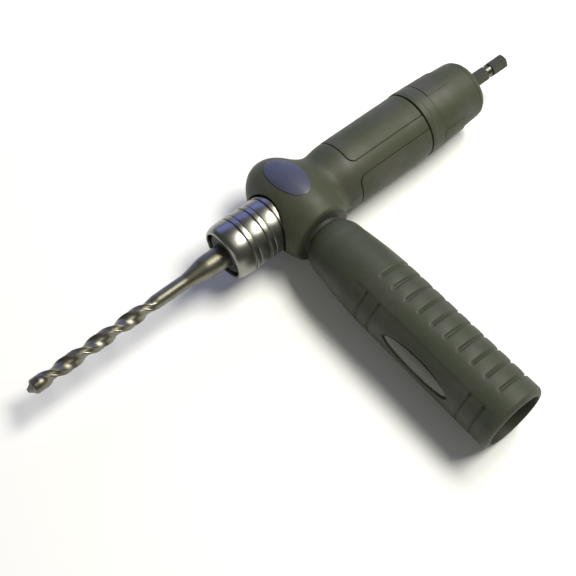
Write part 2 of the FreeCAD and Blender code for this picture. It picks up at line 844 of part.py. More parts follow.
def coil_spring(label):
    """A closed coil of round wire along the tool axis, sized by the label's own cells."""
    length = value_of(label + "_rear - " + label + "_front - " + label + "_wire - " + label + "_wire")
    radius = value_of(label + "_radius")
    turns = value_of(label + "_turns")
    helix = doc.addObject("Part::Helix", label + "_line")
    helix.Radius = radius
    helix.Pitch = length / turns
    helix.Height = length
    helix.SegmentLength = 1
    section = doc.addObject("Part::Circle", label + "_section")
    section.setExpression("Radius", f"Sizes.{label}_wire")
    section.Placement = Placement(Vector(radius, 0, 0), Rotation(Vector(1, 0, 0), 90))
    doc.recompute()
    sweep = doc.addObject("Part::Sweep", label)
    sweep.Sections = [section]
    sweep.Spine = (helix, [])
    sweep.Solid = True
    sweep.Frenet = True
    doc.recompute()
    hand_in(sweep, label)
    sweep.Placement.Rotation = Rotation(Vector(0, 1, 0), 90)
    sweep.setExpression("Placement.Base.x", f"Sizes.{label}_front + Sizes.{label}_wire - Sizes.shank_end")
    return sweep


# ---- striker, anvil and ratchet ------------------------------------------------------------

def saw_teeth(name, base, tip, half, flank, inner, outer):
    """Saw-shaped radial prisms round the tool axis, for the ratchet's teeth or its notches."""
    corners = [Vector(base, inner, -half), Vector(base, inner, half), Vector(tip, inner, flank)]
    face = Part.Face(Part.makePolygon(corners + corners[:1]))
    prism = face.extrude(Vector(0, outer - inner, 0))
    teeth = []
    for number in range(RATCHET_TEETH):
        tooth = prism.copy()
        tooth.rotate(Vector(), Vector(1, 0, 0), number * 360.0 / RATCHET_TEETH)
        teeth.append(tooth)
    item = doc.addObject("Part::Feature", name)
    item.Shape = Part.makeCompound(teeth)
    return item


def make_ratchet_ring():
    """Fixed ring whose notches throw the striker back as it turns."""
    body = ring("ratchet_ring_blank", "ratchet_front", "ratchet_rear", "ratchet_bore_radius",
                "cavity_radius")
    half = value_of("tooth_width + tooth_play + tooth_play") / 2
    notches = saw_teeth("ratchet_notches", value_of("ratchet_rear + tooth_sink"),
                        value_of("ratchet_rear - tooth_height - tooth_sink"), half,
                        half - value_of("tooth_play"), value_of("tooth_inner - tooth_play"),
                        value_of("cavity_radius + tooth_play"))
    hand_in(cut("ratchet_ring", body, notches), "ratchet_ring")


def make_striker():
    """Hammer that the ratchet lifts and the spring throws forward."""
    body = turned_body("striker_turning", [
        ("striker_front", None),
        ("striker_front", "striker_radius"),
        ("striker_flange_front", "striker_radius"),
        ("striker_flange_front", "striker_flange_radius"),
        ("striker_flange_rear", "striker_flange_radius"),
        ("striker_flange_rear", "striker_tail_radius"),
        ("striker_tail_rear", "striker_tail_radius"),
        ("striker_tail_rear", None)])
    half = value_of("tooth_width") / 2
    teeth = saw_teeth("striker_teeth", value_of("striker_flange_front + tooth_sink"),
                      value_of("striker_flange_front - tooth_height"), half,
                      half - value_of("tooth_play + tooth_play"), value_of("tooth_inner"),
                      value_of("striker_flange_radius - tooth_sink"))
    toothed = fuse("striker_toothed", body, teeth)
    socket = hexagon("striker_socket", "striker_socket_front", "striker_tail_rear + cap_gap",
                     "hex_flats + hex_play + hex_play")
    bored = cut("striker_bored", toothed, socket)
    seats = fuse("striker_key_seats", *striker_keys("striker_key_seat"))
    hand_in(cut("striker", bored, seats), "striker")
    hand_in(group("striker_keys", striker_keys("striker_key")), "striker_keys")


def striker_keys(name):
    """The two keys that carry the turn from the striker to the bit holder."""
    keys = []
    for number, turned_by in enumerate((0.0, 180.0)):
        key = part_object("Box", f"{name}_{number}", Length="key_rear - key_front",
                          Width="key_depth + key_depth", Height="key_width")
        base = Vector(value_of("key_front"), value_of("striker_radius - key_depth - key_play"),
                      -value_of("key_width") / 2)
        flip = Rotation(Vector(1, 0, 0), turned_by)
        key.Placement = Placement(flip.multVec(base), flip)
        keys.append(key)
    doc.recompute()
    return keys


def make_anvil():
    """Free piece that passes the blow on to the bit, with its damping ring."""
    body = turned_body("anvil", [
        ("anvil_nose", None),
        ("anvil_nose", "anvil_nose_radius"),
        ("anvil_face", "anvil_nose_radius"),
        ("anvil_face", "anvil_radius"),
        ("anvil_rear", "anvil_radius"),
        ("anvil_rear", None)])
    groove(body, "anvil_ring_seat", [
        ("anvil_ring_station", "anvil_radius - anvil_ring_section"),
        ("anvil_ring_station", "journal_radius"),
        ("anvil_ring_station + anvil_ring_section + anvil_ring_section", "journal_radius"),
        ("anvil_ring_station + anvil_ring_section + anvil_ring_section",
         "anvil_radius - anvil_ring_section")])
    hand_in(body, "anvil")
    hand_in(ring("anvil_damping_ring", "anvil_ring_station",
                 "anvil_ring_station + anvil_ring_section + anvil_ring_section",
                 "anvil_radius - anvil_ring_section", "anvil_radius"), "anvil_damping_ring")


# ---- drive shaft ---------------------------------------------------------------------------

def hexagon(name, front, rear, flats):
    """A hexagonal bar along the tool axis with flats facing +Z and -Z."""
    bar = part_object("Prism", name, Height=rear + " - " + front.replace(" + ", " - "))
    bar.Polygon = 6
    bar.setExpression("Circumradius", f"({cells(flats)}) / sqrt(3)")
    bar.Placement = Placement(Vector(), Rotation(Vector(0, 1, 0), 90) * Rotation(Vector(0, 0, 1), 30))
    bar.setExpression("Placement.Base.x", cells(front))
    doc.recompute()
    return bar


def make_drive_shaft():
    """Hexagonal shaft from the drill's chuck to the striker's socket."""
    bar = hexagon("shaft_bar", "shaft_front", "shank_end", "hex_flats")
    collars = turned_body("shaft_collars", [
        ("shaft_collar_front", None),
        ("shaft_collar_front", "shaft_collar_radius"),
        ("shaft_step_front", "shaft_collar_radius"),
        ("shaft_step_front", "shaft_step_radius"),
        ("shaft_journal_front", "shaft_step_radius"),
        ("shaft_journal_front", "shaft_journal_radius"),
        ("shaft_journal_rear", "shaft_journal_radius"),
        ("shaft_journal_rear", None)])
    bounds = turned_body("shaft_bounds", [
        ("shaft_front - cap_gap", None),
        ("shaft_front - cap_gap", "cavity_radius"),
        ("circlip_front", "cavity_radius"),
        ("circlip_front", "circlip_groove_radius"),
        ("circlip_front + circlip_thickness", "circlip_groove_radius"),
        ("circlip_front + circlip_thickness", "cavity_radius"),
        ("shank_groove_front", "cavity_radius"),
        ("shank_groove_front", "shank_groove_radius"),
        ("shank_groove_rear", "shank_groove_radius"),
        ("shank_groove_rear", "shaft_journal_radius"),
        ("shank_end - shank_chamfer", "shaft_journal_radius"),
        ("shank_end", "shank_end_radius"),
        ("shank_end", None)])
    hand_in(common("drive_shaft", fuse("shaft_blank", bar, collars), bounds), "drive_shaft")
    hand_in(ring("shaft_circlip", "circlip_front", "circlip_front + circlip_thickness",
                 "circlip_groove_radius", "circlip_radius"), "shaft_circlip")


# ---- masonry bit ---------------------------------------------------------------------------

def lock_pocket(name, side):
    """The closed pocket in the bit's shank that one lock ball rides in."""
    track = part_object("Cylinder", name + "_track", Radius="pocket_radius",
                        Height="pocket_rear - pocket_front")
    track.Placement.Rotation = Rotation(Vector(0, 1, 0), 90)
    track.setExpression("Placement.Base.x", "Sizes.pocket_front")
    track.setExpression("Placement.Base.z", f"{side} * Sizes.ball_centre")
    ends = []
    for end in ("pocket_front", "pocket_rear"):
        ball = part_object("Sphere", name + "_" + end, Radius="pocket_radius")
        ball.setExpression("Placement.Base.x", f"Sizes.{end}")
        ball.setExpression("Placement.Base.z", f"{side} * Sizes.ball_centre")
        ends.append(ball)
    doc.recompute()
    return [track] + ends


def key_slot(name, turned_by):
    """An open slot in the bit's shank for one of the holder's keys."""
    slot = part_object("Box", name, Length="bit_shank_rear - slot_front + cap_gap",
                       Width="bit_shank_radius", Height="slot_width")
    base = Vector(value_of("slot_front"), value_of("slot_floor"), -value_of("slot_width") / 2)
    flip = Rotation(Vector(1, 0, 0), turned_by)
    slot.Placement = Placement(flip.multVec(base), flip)
    return slot


def tip_plate(name):
    """The flat carbide plate, a house shape across the bit's point."""
    plate = new_body(name)
    sketch = sketch_on(plate, name + "_outline", "XZ_Plane")
    corners = [
        ("bit_tip", None),
        ("bit_tip + bit_point", "tip_half_width"),
        ("bit_tip + tip_depth", "tip_half_width"),
        ("bit_tip + tip_depth", None)]
    draw_outline(sketch, corners)
    pad = plate.newObject("PartDesign::Pad", name + "_pad")
    pad.Profile = sketch
    pad.Midplane = True
    pad.setExpression("Length", "Sizes.tip_thickness")
    mirrored = plate.newObject("PartDesign::Mirrored", name + "_whole")
    mirrored.Originals = [pad]
    mirrored.MirrorPlane = (sketch, ["H_Axis"])
    plate.Tip = mirrored
    doc.recompute()
    return plate


def make_bit():
    """Two-flute masonry bit with a slotted 10 mm shank and a brazed plate at its point."""
    shaft = turned_body("bit_turning", [
        ("bit_tip + bit_point - bit_point_back", None),
        ("bit_tip + bit_point", "bit_flute_radius"),
        ("bit_plain_front", "bit_flute_radius"),
        ("bit_plain_front + bit_point_back", "bit_plain_radius"),
        ("bit_cone_front", "bit_plain_radius"),
        ("bit_cone_rear", "bit_shank_radius"),
        ("bit_shank_rear - bit_end_chamfer", "bit_shank_radius"),
        ("bit_shank_rear", "bit_shank_radius - bit_end_chamfer"),
        ("bit_shank_rear", None)])
    cutters = lock_pocket("upper_pocket", 1) + lock_pocket("lower_pocket", -1)
    cutters += [key_slot("front_key_slot", 0.0), key_slot("back_key_slot", 180.0)]
    doc.recompute()
    shank = shaft
    for cutter in cutters:
        shank = cut_away(shank, cutter)
    hand_in(cut_away(shank, tip_plate("tip_slot")), "drill_bit")
    hand_in(tip_plate("carbide_tip"), "carbide_tip")


def cut_away(base, cutter):
    """Cut one shape away and make sure that it did take something off."""
    result = cut(base.Name + "_less_" + cutter.Name, base, cutter)
    if result.Shape.Volume >= base.Shape.Volume - 1.0:
        raise ValueError(cutter.Name + " cuts nothing")
    return result


# ---- side handle ---------------------------------------------------------------------------

def inlay_prism(name):
    """An oval prism that stands on the handle's flank where the inlay sits."""
    body = new_body(name)
    sketch = sketch_on(body, name + "_oval", "XY_Plane")
    draw_oval(sketch, "inlay_middle", None, "inlay_half_length", "inlay_half_width", False)
    pad = body.newObject("PartDesign::Pad", name + "_pad")
    pad.Profile = sketch
    pad.setExpression("Length", "2 * Sizes.handle_radius")
    doc.recompute()
    body.Placement = Placement(Vector(), Rotation(Vector(1, 0, 0), value_of("inlay_angle")))
    return body


def rib_cutter(name, station, middle, arc):
    """A ring sector with a V section that cuts one of the grip's grooves."""
    body = new_body(name)
    sketch = sketch_on(body, name + "_outline", "XZ_Plane")
    first = f"rib_first + {station}" if station else "rib_first"
    draw_outline(sketch, [
        (first + " - rib_width", "handle_radius + rib_depth"),
        (first + " + rib_width", "handle_radius + rib_depth"),
        (first, "handle_radius - rib_depth")])
    turn(body, sketch, name + "_turned", arc)
    body.Placement = Placement(Vector(), Rotation(Vector(1, 0, 0), middle))
    return body


def make_handle():
    """Side handle: hard core, soft grip, threaded stud, end plug and inlay."""
    grip = turned_body("handle_grip_turning", [
        ("handle_nose", "thread_radius + thread_play"),
        ("handle_nose", "handle_nose_radius", "handle_nose_arc"),
        ("handle_shoulder", "handle_shoulder_radius", "handle_flank_arc"),
        ("handle_straight", "handle_radius"),
        ("handle_end - handle_end_round", "handle_radius", "handle_end_round"),
        ("handle_end", "handle_radius - handle_end_round"),
        ("handle_end", "handle_mouth_radius"),
        ("handle_end - handle_mouth_depth", "handle_mouth_radius"),
        ("handle_end - handle_mouth_depth", "core_radius"),
        ("core_front", "core_radius"),
        ("core_front", "thread_radius + thread_play")])
    pitches = ["", *[" + ".join(["rib_pitch"] * count) for count in range(1, RIB_COUNT)]]
    cutters = []
    for number, station in enumerate(pitches):
        middle = value_of("rib_middle_angle")
        cutters.append(rib_cutter(f"long_groove_{number}", station, middle, "rib_arc"))
    for number in OUTER_RIBS:
        middle = value_of("inlay_angle")
        cutters.append(rib_cutter(f"short_groove_{number}", pitches[number], middle, "short_rib_arc"))
    shaped = cut("handle_grip_ribbed", grip, group("handle_grooves", cutters))
    core_of_inlay = part_object("Cylinder", "inlay_floor", Height="handle_end")
    core_of_inlay.setExpression("Radius", "Sizes.handle_radius - Sizes.inlay_depth")
    core_of_inlay.Placement.Rotation = Rotation(Vector(0, 1, 0), 90)
    skin = part_object("Cylinder", "inlay_skin", Height="handle_end", Radius="handle_radius")
    skin.Placement.Rotation = Rotation(Vector(0, 1, 0), 90)
    doc.recompute()
    room = cut("inlay_room", inlay_prism("inlay_room_prism"), core_of_inlay)
    hand_in(cut("handle_grip", shaped, room), "handle_grip", on_handle=True)
    plate = common("inlay_plate", inlay_prism("inlay_prism"), skin)
    hand_in(cut("handle_inlay", plate, core_of_inlay), "handle_inlay", on_handle=True)
    core = turned_body("handle_core_turning", [
        ("core_front", "thread_radius"),
        ("core_front", "core_radius"),
        ("handle_end - handle_mouth_depth", "core_radius"),
        ("handle_end - handle_mouth_depth", "core_bore_radius"),
        ("core_bulkhead", "core_bore_radius"),
        ("core_bulkhead", "thread_radius")])
    head_room = hexagon("stud_head_room", "stud_outer", "core_bulkhead + cap_gap", "stud_head_flats")
    hand_in(cut("handle_core", core, head_room), "handle_core", on_handle=True)
    rod = part_object("Cylinder", "stud_rod", Radius="thread_radius", Height="stud_outer - stud_inner")
    rod.Placement.Rotation = Rotation(Vector(0, 1, 0), 90)
    rod.setExpression("Placement.Base.x", "Sizes.stud_inner")
    head = hexagon("stud_head", "stud_outer", "stud_head_outer", "stud_head_flats")
    doc.recompute()
    hand_in(fuse("handle_stud", rod, head), "handle_stud", on_handle=True)
    plug = ring("handle_end_plug", "plug_front", "plug_rear", "plug_hole_radius", "core_bore_radius")
    hand_in(plug, "handle_end_plug", on_handle=True)
    washer = ring("handle_washer", "hub_handle_face + handle_gap",
                  "hub_handle_face + handle_gap + washer_thickness", "thread_radius + thread_play",
                  "neck_radius")
    hand_in(washer, "handle_washer", on_handle=True)
    insert = ring("handle_insert", "insert_inner", "hub_handle_face", "thread_radius + thread_play",
                  "insert_radius")
    hand_in(insert, "handle_insert", on_handle=True)


# ---- build and write -----------------------------------------------------------------------

def check_document():
    """Stop if any object failed, or if any node is empty or broken."""
    doc.recompute()
    for item in doc.Objects:
        if "Invalid" in item.State or "Error" in item.State:
            raise RuntimeError(item.Name + " is " + ", ".join(item.State))
    for node in NODES:
        if node.Shape.isNull() or not node.Shape.isValid():
            raise RuntimeError(node.Label + " has no valid shape")


def write_nodes():
    """One STEP file for each node."""
    os.makedirs("parts", exist_ok=True)
    for node in NODES:
        node.Shape.exportStep("parts/" + node.Label + ".step")
        print(f"{node.Label:24s} {len(node.Shape.Solids):2d} solids {node.Shape.Volume:10.1f} mm3")


make_main_housing()
make_badge()
make_grip_pads()
make_rear_cap()
make_rear_cap_cover()
make_fixed_rings()
make_bearing()
make_spindle()
make_nose_parts()
make_sleeve()
make_lock_balls()
coil_spring("hammer_spring")
coil_spring("sleeve_spring")
make_ratchet_ring()
make_striker()
make_anvil()
make_drive_shaft()
make_bit()
make_handle()
check_document()
write_nodes()
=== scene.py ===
import json
import math

import bmesh
import bpy
from mathutils import Matrix, Vector


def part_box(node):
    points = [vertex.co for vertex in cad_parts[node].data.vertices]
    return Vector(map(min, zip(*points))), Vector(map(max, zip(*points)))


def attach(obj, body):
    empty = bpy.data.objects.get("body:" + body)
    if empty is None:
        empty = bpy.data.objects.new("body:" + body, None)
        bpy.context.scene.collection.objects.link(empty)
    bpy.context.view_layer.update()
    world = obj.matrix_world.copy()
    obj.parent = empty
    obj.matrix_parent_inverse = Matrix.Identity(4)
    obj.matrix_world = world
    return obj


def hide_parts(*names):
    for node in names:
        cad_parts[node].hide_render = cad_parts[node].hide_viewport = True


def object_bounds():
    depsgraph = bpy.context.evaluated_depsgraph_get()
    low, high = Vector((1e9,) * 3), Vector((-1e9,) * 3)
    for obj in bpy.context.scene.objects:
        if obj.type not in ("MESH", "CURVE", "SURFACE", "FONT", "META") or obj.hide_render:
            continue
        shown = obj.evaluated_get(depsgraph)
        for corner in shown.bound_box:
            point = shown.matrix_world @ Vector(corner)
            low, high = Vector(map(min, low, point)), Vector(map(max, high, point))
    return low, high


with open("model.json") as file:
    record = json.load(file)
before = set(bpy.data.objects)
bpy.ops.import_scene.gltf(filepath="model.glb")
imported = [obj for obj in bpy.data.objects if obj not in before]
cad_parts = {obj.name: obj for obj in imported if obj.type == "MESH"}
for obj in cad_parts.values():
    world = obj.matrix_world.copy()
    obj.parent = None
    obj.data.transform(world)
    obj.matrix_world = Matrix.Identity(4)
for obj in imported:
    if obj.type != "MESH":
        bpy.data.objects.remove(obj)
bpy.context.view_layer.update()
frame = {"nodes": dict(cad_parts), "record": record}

# Percussion drilling attachment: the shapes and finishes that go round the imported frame.
#
# Sizes are millimetres. "Along" is counted from the point where the tool's axis and the side
# handle's axis cross: + to the rear on the tool, and + away from the tool on the handle. Angles
# are degrees from the top, toward the handle on the tool and toward the bit on the handle.

MM = 0.001
TINY = 1e-9
SEAM_GAP = 1e-7
SHARP_ANGLE = math.radians(32)
CORNER_ANGLE = 0.9


def middle_of(node):
    """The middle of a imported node's box, in metres."""
    low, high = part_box(node)
    return (low + high) / 2


HUB_X = middle_of("handle_insert").x


def along_tool(node, high=False):
    """Where a node starts, or ends, along the tool, in millimetres from the handle's axis."""
    return (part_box(node)[1 if high else 0].x - HUB_X) / MM


# ---- places on the tool and on the handle ---------------------------------------------------

def tool_point(along, angle, radius):
    """A place round the tool's axis, in metres."""
    turn = math.radians(angle)
    return Vector((HUB_X + along * MM, -radius * MM * math.sin(turn),
                   radius * MM * math.cos(turn)))


def handle_point(along, angle, radius):
    """A place round the handle's axis, in metres."""
    turn = math.radians(angle)
    return Vector((HUB_X - radius * MM * math.sin(turn), -along * MM,
                   radius * MM * math.cos(turn)))


def ease(low, high, value):
    """0 below low, 1 above high, and a soft step between."""
    t = min(max((value - low) / (high - low), 0.0), 1.0)
    return t * t * (3 - 2 * t)


def mix(a, b, t):
    """a at t = 0, b at t = 1, and a straight line between."""
    return a + (b - a) * t


def off_angle(angle, middle):
    """How far an angle is from another one, from -180 to 180 degrees."""
    return (angle - middle + 180) % 360 - 180


# ---- mesh tools -----------------------------------------------------------------------------

def turned(outline, place, steps=160):
    """Turn a closed outline of (along, radius, softening) corners and put it in its place."""
    bm = bmesh.new()
    corners = [bm.verts.new((along, 0, radius)) for along, radius, _ in outline]
    for pair in zip(corners, corners[1:] + corners[:1]):
        bm.edges.new(pair)
    by_size = {}
    for corner, (_, _, soft) in zip(corners, outline):
        if soft:
            by_size.setdefault(soft, []).append(corner)
    for soft, soft_corners in by_size.items():
        bmesh.ops.bevel(bm, geom=soft_corners, offset=soft, offset_type="OFFSET", segments=4,
                        profile=0.5, affect="VERTICES", material=-1)
    bmesh.ops.spin(bm, geom=bm.verts[:] + bm.edges[:], cent=(0, 0, 0), axis=(1, 0, 0),
                   angle=math.tau, steps=steps, use_merge=True)
    for vert in bm.verts:
        x, y, z = vert.co
        vert.co = place(x, math.degrees(math.atan2(-y, z)), math.hypot(y, z))
    return bm


def tube(rows, columns, where, looped):
    """A tube of rows and columns, each vertex put where the function of both says.

    A looped tube's last row joins its first, so that its wall goes out along the outside of a
    piece and comes back through its bore.
    """
    bm = bmesh.new()
    line = [bm.verts.new((row, 0, 1)) for row in range(rows)]
    for pair in zip(line, line[1:]):
        bm.edges.new(pair)
    if looped:
        bm.edges.new((line[-1], line[0]))
    bmesh.ops.spin(bm, geom=bm.verts[:] + bm.edges[:], cent=(0, 0, 0), axis=(1, 0, 0),
                   angle=math.tau, steps=columns, use_merge=True)
    for vert in bm.verts:
        turn = math.atan2(-vert.co.y, vert.co.z) / math.tau
        vert.co = where(round(vert.co.x), round(turn * columns) % columns)
    return bm


def to_disc(a, b):
    """Spread a square's points over a disc."""
    return a * math.sqrt(1 - b * b / 2), b * math.sqrt(1 - a * a / 2)


def round_corner(out, back, half_width, corner):
    """Move a point of a tile so that the two corners of one edge are round.

    out is the distance from the tile's middle line and back the distance from that edge.
    """
    if abs(out) <= half_width - corner or back >= corner:
        return out, back
    a, b = to_disc((abs(out) - half_width + corner) / corner, (corner - back) / corner)
    return math.copysign(half_width - corner + a * corner, out), corner - b * corner


def round_sharp_edges(bm, size):
    """Round every edge where two faces meet sharply."""
    sharp = [edge for edge in bm.edges
             if edge.is_manifold and edge.calc_face_angle(0) > CORNER_ANGLE]
    bmesh.ops.bevel(bm, geom=sharp, offset=size * MM, offset_type="OFFSET", segments=2,
                    profile=0.5, affect="EDGES", clamp_overlap=True, material=-1)


def thicken(bm, core, thickness):
    """Turn an open skin's faces away from the axis it stands round and thicken it inwards."""
    bmesh.ops.recalc_face_normals(bm, faces=bm.faces[:])
    if sum(face.normal.dot(face.calc_center_median() - core(face)) for face in bm.faces) < 0:
        bmesh.ops.reverse_faces(bm, faces=bm.faces[:])
    bmesh.ops.solidify(bm, geom=bm.faces[:], thickness=thickness * MM)
    bmesh.ops.recalc_face_normals(bm, faces=bm.faces[:])


def tool_core(face):
    """The point of the tool's axis that a face stands round."""
    return Vector((face.calc_center_median().x, 0, 0))


def handle_core(face):
    """The point of the handle's axis that a face stands round."""
    return Vector((HUB_X, face.calc_center_median().y, 0))


def plate(across, along, where, core, thickness, soft):
    """A thick plate: a grid from -1 to 1 both ways, bent into place and given a soft rim."""
    bm = bmesh.new()
    bmesh.ops.create_grid(bm, x_segments=across, y_segments=along, size=1)
    for vert in bm.verts:
        vert.co = where(vert.co.x, vert.co.y)
    thicken(bm, core, thickness)
    round_sharp_edges(bm, soft)
    return bm


def joined(*parts):
    """Several shapes in one mesh."""
    whole = bmesh.new()
    for part in parts:
        mesh = bpy.data.meshes.new("part")
        part.to_mesh(mesh)
        part.free()
        whole.from_mesh(mesh)
        bpy.data.meshes.remove(mesh)
    return whole


def finished(bm, name, body, slot, material, *nodes):
    """Close a shape's seams, turn its faces outwards and hand it over as a named piece."""
    bmesh.ops.remove_doubles(bm, verts=bm.verts[:], dist=SEAM_GAP)
    bmesh.ops.dissolve_degenerate(bm, edges=bm.edges[:], dist=SEAM_GAP)
    bmesh.ops.recalc_face_normals(bm, faces=bm.faces[:])
    for face in bm.faces:
        face.smooth = True
    for edge in bm.edges:
        edge.smooth = edge.calc_face_angle(0) < SHARP_ANGLE
    mesh = bpy.data.meshes.new(name)
    bm.to_mesh(mesh)
    bm.free()
    mesh.materials.append(material)
    piece = bpy.data.objects.new(name, mesh)
    bpy.context.scene.collection.objects.link(piece)
    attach(piece, body)
    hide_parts(*nodes)


# ---- effects shared by the finishes ---------------------------------------------------------

def new_group(name, inputs, outputs):
    """An empty node group that reads a place and named numbers and puts out named numbers."""
    group = bpy.data.node_groups.new(name, "ShaderNodeTree")
    group.interface.new_socket("Place", in_out="INPUT", socket_type="NodeSocketVector")
    for label, value in inputs.items():
        socket = group.interface.new_socket(label, in_out="INPUT", socket_type="NodeSocketFloat")
        socket.default_value = value
    for label in outputs:
        group.interface.new_socket(label, in_out="OUTPUT", socket_type="NodeSocketFloat")
    return group, group.nodes.new("NodeGroupInput"), group.nodes.new("NodeGroupOutput")


def noise_node(tree, place, scale, detail, rough=0.5):
    """A noise texture read at a place; scale is a number or a socket."""
    node = tree.nodes.new("ShaderNodeTexNoise")
    node.inputs["Detail"].default_value = detail
    node.inputs["Roughness"].default_value = rough
    tree.links.new(place, node.inputs["Vector"])
    if isinstance(scale, (int, float)):
        node.inputs["Scale"].default_value = scale
    else:
        tree.links.new(scale, node.inputs["Scale"])
    return node.outputs["Fac"]


def math_node(tree, kind, first, second=None, clamp=False):
    """One step of arithmetic, each of whose operands is a number or a socket."""
    node = tree.nodes.new("ShaderNodeMath")
    node.operation = kind
    node.use_clamp = clamp
    for slot, value in enumerate((first, second)):
        if value is None:
            continue
        if isinstance(value, (int, float)):
            node.inputs[slot].default_value = value
        else:
            tree.links.new(value, node.inputs[slot])
    return node.outputs[0]


def ramp_node(tree, value, low, high, to_low=0.0, to_high=1.0, smooth=True):
    """Spread a value between two limits over another range."""
    node = tree.nodes.new("ShaderNodeMapRange")
    node.interpolation_type = "SMOOTHSTEP" if smooth else "LINEAR"
    tree.links.new(value, node.inputs["Value"])
    limits = {"From Min": low, "From Max": high, "To Min": to_low, "To Max": to_high}
    for label, number in limits.items():
        node.inputs[label].default_value = number
    return node.outputs["Result"]


def make_moulded_grain():
    """Spark-eroded mould texture: fine closed pits with a little drift in their depth."""
    tree, given, out = new_group("Moulded grain", {"Scale": 2600.0, "Depth": 1.0},
                                 ["Height", "Pits"])
    fine = noise_node(tree, given.outputs["Place"], given.outputs["Scale"], 3.0, 0.55)
    cells = tree.nodes.new("ShaderNodeTexVoronoi")
    tree.links.new(given.outputs["Place"], cells.inputs["Vector"])
    tree.links.new(given.outputs["Scale"], cells.inputs["Scale"])
    pits = ramp_node(tree, cells.outputs["Distance"], 0.1, 0.55)
    both = math_node(tree, "MULTIPLY", math_node(tree, "ADD", fine, pits), 0.5)
    tree.links.new(math_node(tree, "MULTIPLY", both, given.outputs["Depth"]), out.inputs["Height"])
    tree.links.new(pits, out.inputs["Pits"])
    return tree


def make_handling_marks():
    """Where hands have polished a surface and where dust has stayed on it."""
    tree, given, out = new_group("Handling marks", {"Scale": 60.0, "Amount": 1.0},
                                 ["Polish", "Dust"])
    broad = noise_node(tree, given.outputs["Place"], given.outputs["Scale"], 4.0, 0.6)
    polish = ramp_node(tree, broad, 0.42, 0.66)
    speck_scale = math_node(tree, "MULTIPLY", given.outputs["Scale"], 23.0)
    specks = noise_node(tree, given.outputs["Place"], speck_scale, 3.0, 0.7)
    dust = math_node(tree, "MULTIPLY", ramp_node(tree, specks, 0.58, 0.72),
                     math_node(tree, "SUBTRACT", 1.0, polish))
    for label, mask in (("Polish", polish), ("Dust", dust)):
        tree.links.new(math_node(tree, "MULTIPLY", mask, given.outputs["Amount"]),
                       out.inputs[label])
    return tree


def make_turning_marks():
    """Fine rings left by the lathe, even round the axis and uneven along it."""
    tree, given, out = new_group("Turning marks", {"Rings": 5000.0, "Depth": 1.0},
                                 ["Height", "Shade"])
    apart = tree.nodes.new("ShaderNodeSeparateXYZ")
    tree.links.new(given.outputs["Place"], apart.inputs[0])
    across = math_node(tree, "POWER", apart.outputs["Y"], 2.0)
    up = math_node(tree, "POWER", apart.outputs["Z"], 2.0)
    radius = math_node(tree, "SQRT", math_node(tree, "ADD", across, up))
    ring = tree.nodes.new("ShaderNodeCombineXYZ")
    for label, distance in (("X", apart.outputs["X"]), ("Y", radius)):
        tree.links.new(math_node(tree, "MULTIPLY", distance, given.outputs["Rings"]),
                       ring.inputs[label])
    lines = noise_node(tree, ring.outputs[0], 1.0, 2.0, 0.6)
    tree.links.new(math_node(tree, "MULTIPLY", lines, given.outputs["Depth"]),
                   out.inputs["Height"])
    tree.links.new(ramp_node(tree, lines, 0.35, 0.65), out.inputs["Shade"])
    return tree


def make_stains():
    """Cloudy tarnish or heat tint on bare steel."""
    tree, given, out = new_group("Stains", {"Scale": 120.0, "Amount": 1.0}, ["Stain"])
    cloud = noise_node(tree, given.outputs["Place"], given.outputs["Scale"], 5.0, 0.65)
    patches = ramp_node(tree, cloud, 0.38, 0.7)
    tree.links.new(math_node(tree, "MULTIPLY", patches, given.outputs["Amount"]),
                   out.inputs["Stain"])
    return tree


GRAIN = make_moulded_grain()
MARKS = make_handling_marks()
TURNING = make_turning_marks()
STAINS = make_stains()


# ---- finishes -------------------------------------------------------------------------------

class Finish:
    """A material under construction, with the sockets that its effects share."""

    def __init__(self, name, **fixed):
        self.material = bpy.data.materials.new(name)
        self.material.use_nodes = True
        self.tree = self.material.node_tree
        self.shader = self.tree.nodes["Principled BSDF"]
        self.place = self.tree.nodes.new("ShaderNodeTexCoord").outputs["Object"]
        for label, value in fixed.items():
            self.shader.inputs[label.replace("_", " ")].default_value = value

    def effect(self, group, **values):
        """Place a shared effect with this finish's own values and give its outputs."""
        node = self.tree.nodes.new("ShaderNodeGroup")
        node.node_tree = group
        self.tree.links.new(self.place, node.inputs["Place"])
        for label, value in values.items():
            node.inputs[label].default_value = value
        return node.outputs

    def blend(self, amount, first, second):
        """Mix two colours, each a triple or a socket, by a mask."""
        node = self.tree.nodes.new("ShaderNodeMix")
        node.data_type = "RGBA"
        self.tree.links.new(amount, node.inputs["Factor"])
        for label, colour in (("A", first), ("B", second)):
            socket = [s for s in node.inputs if s.name == label and s.type == "RGBA"][0]
            if isinstance(colour, tuple):
                socket.default_value = (*colour, 1)
            else:
                self.tree.links.new(colour, socket)
        return [s for s in node.outputs if s.type == "RGBA"][0]

    def colour(self, socket):
        """Give the finish its colour."""
        self.tree.links.new(socket, self.shader.inputs["Base Color"])

    def roughness(self, mask, low, high):
        """Spread the finish's roughness between two limits by a mask."""
        self.tree.links.new(ramp_node(self.tree, mask, 0, 1, low, high, False),
                            self.shader.inputs["Roughness"])

    def bump(self, height, distance):
        """Raise the surface by a height mask, with the distance in millimetres."""
        node = self.tree.nodes.new("ShaderNodeBump")
        node.inputs["Strength"].default_value = 0.5
        node.inputs["Distance"].default_value = distance * MM
        self.tree.links.new(height, node.inputs["Height"])
        self.tree.links.new(node.outputs["Normal"], self.shader.inputs["Normal"])


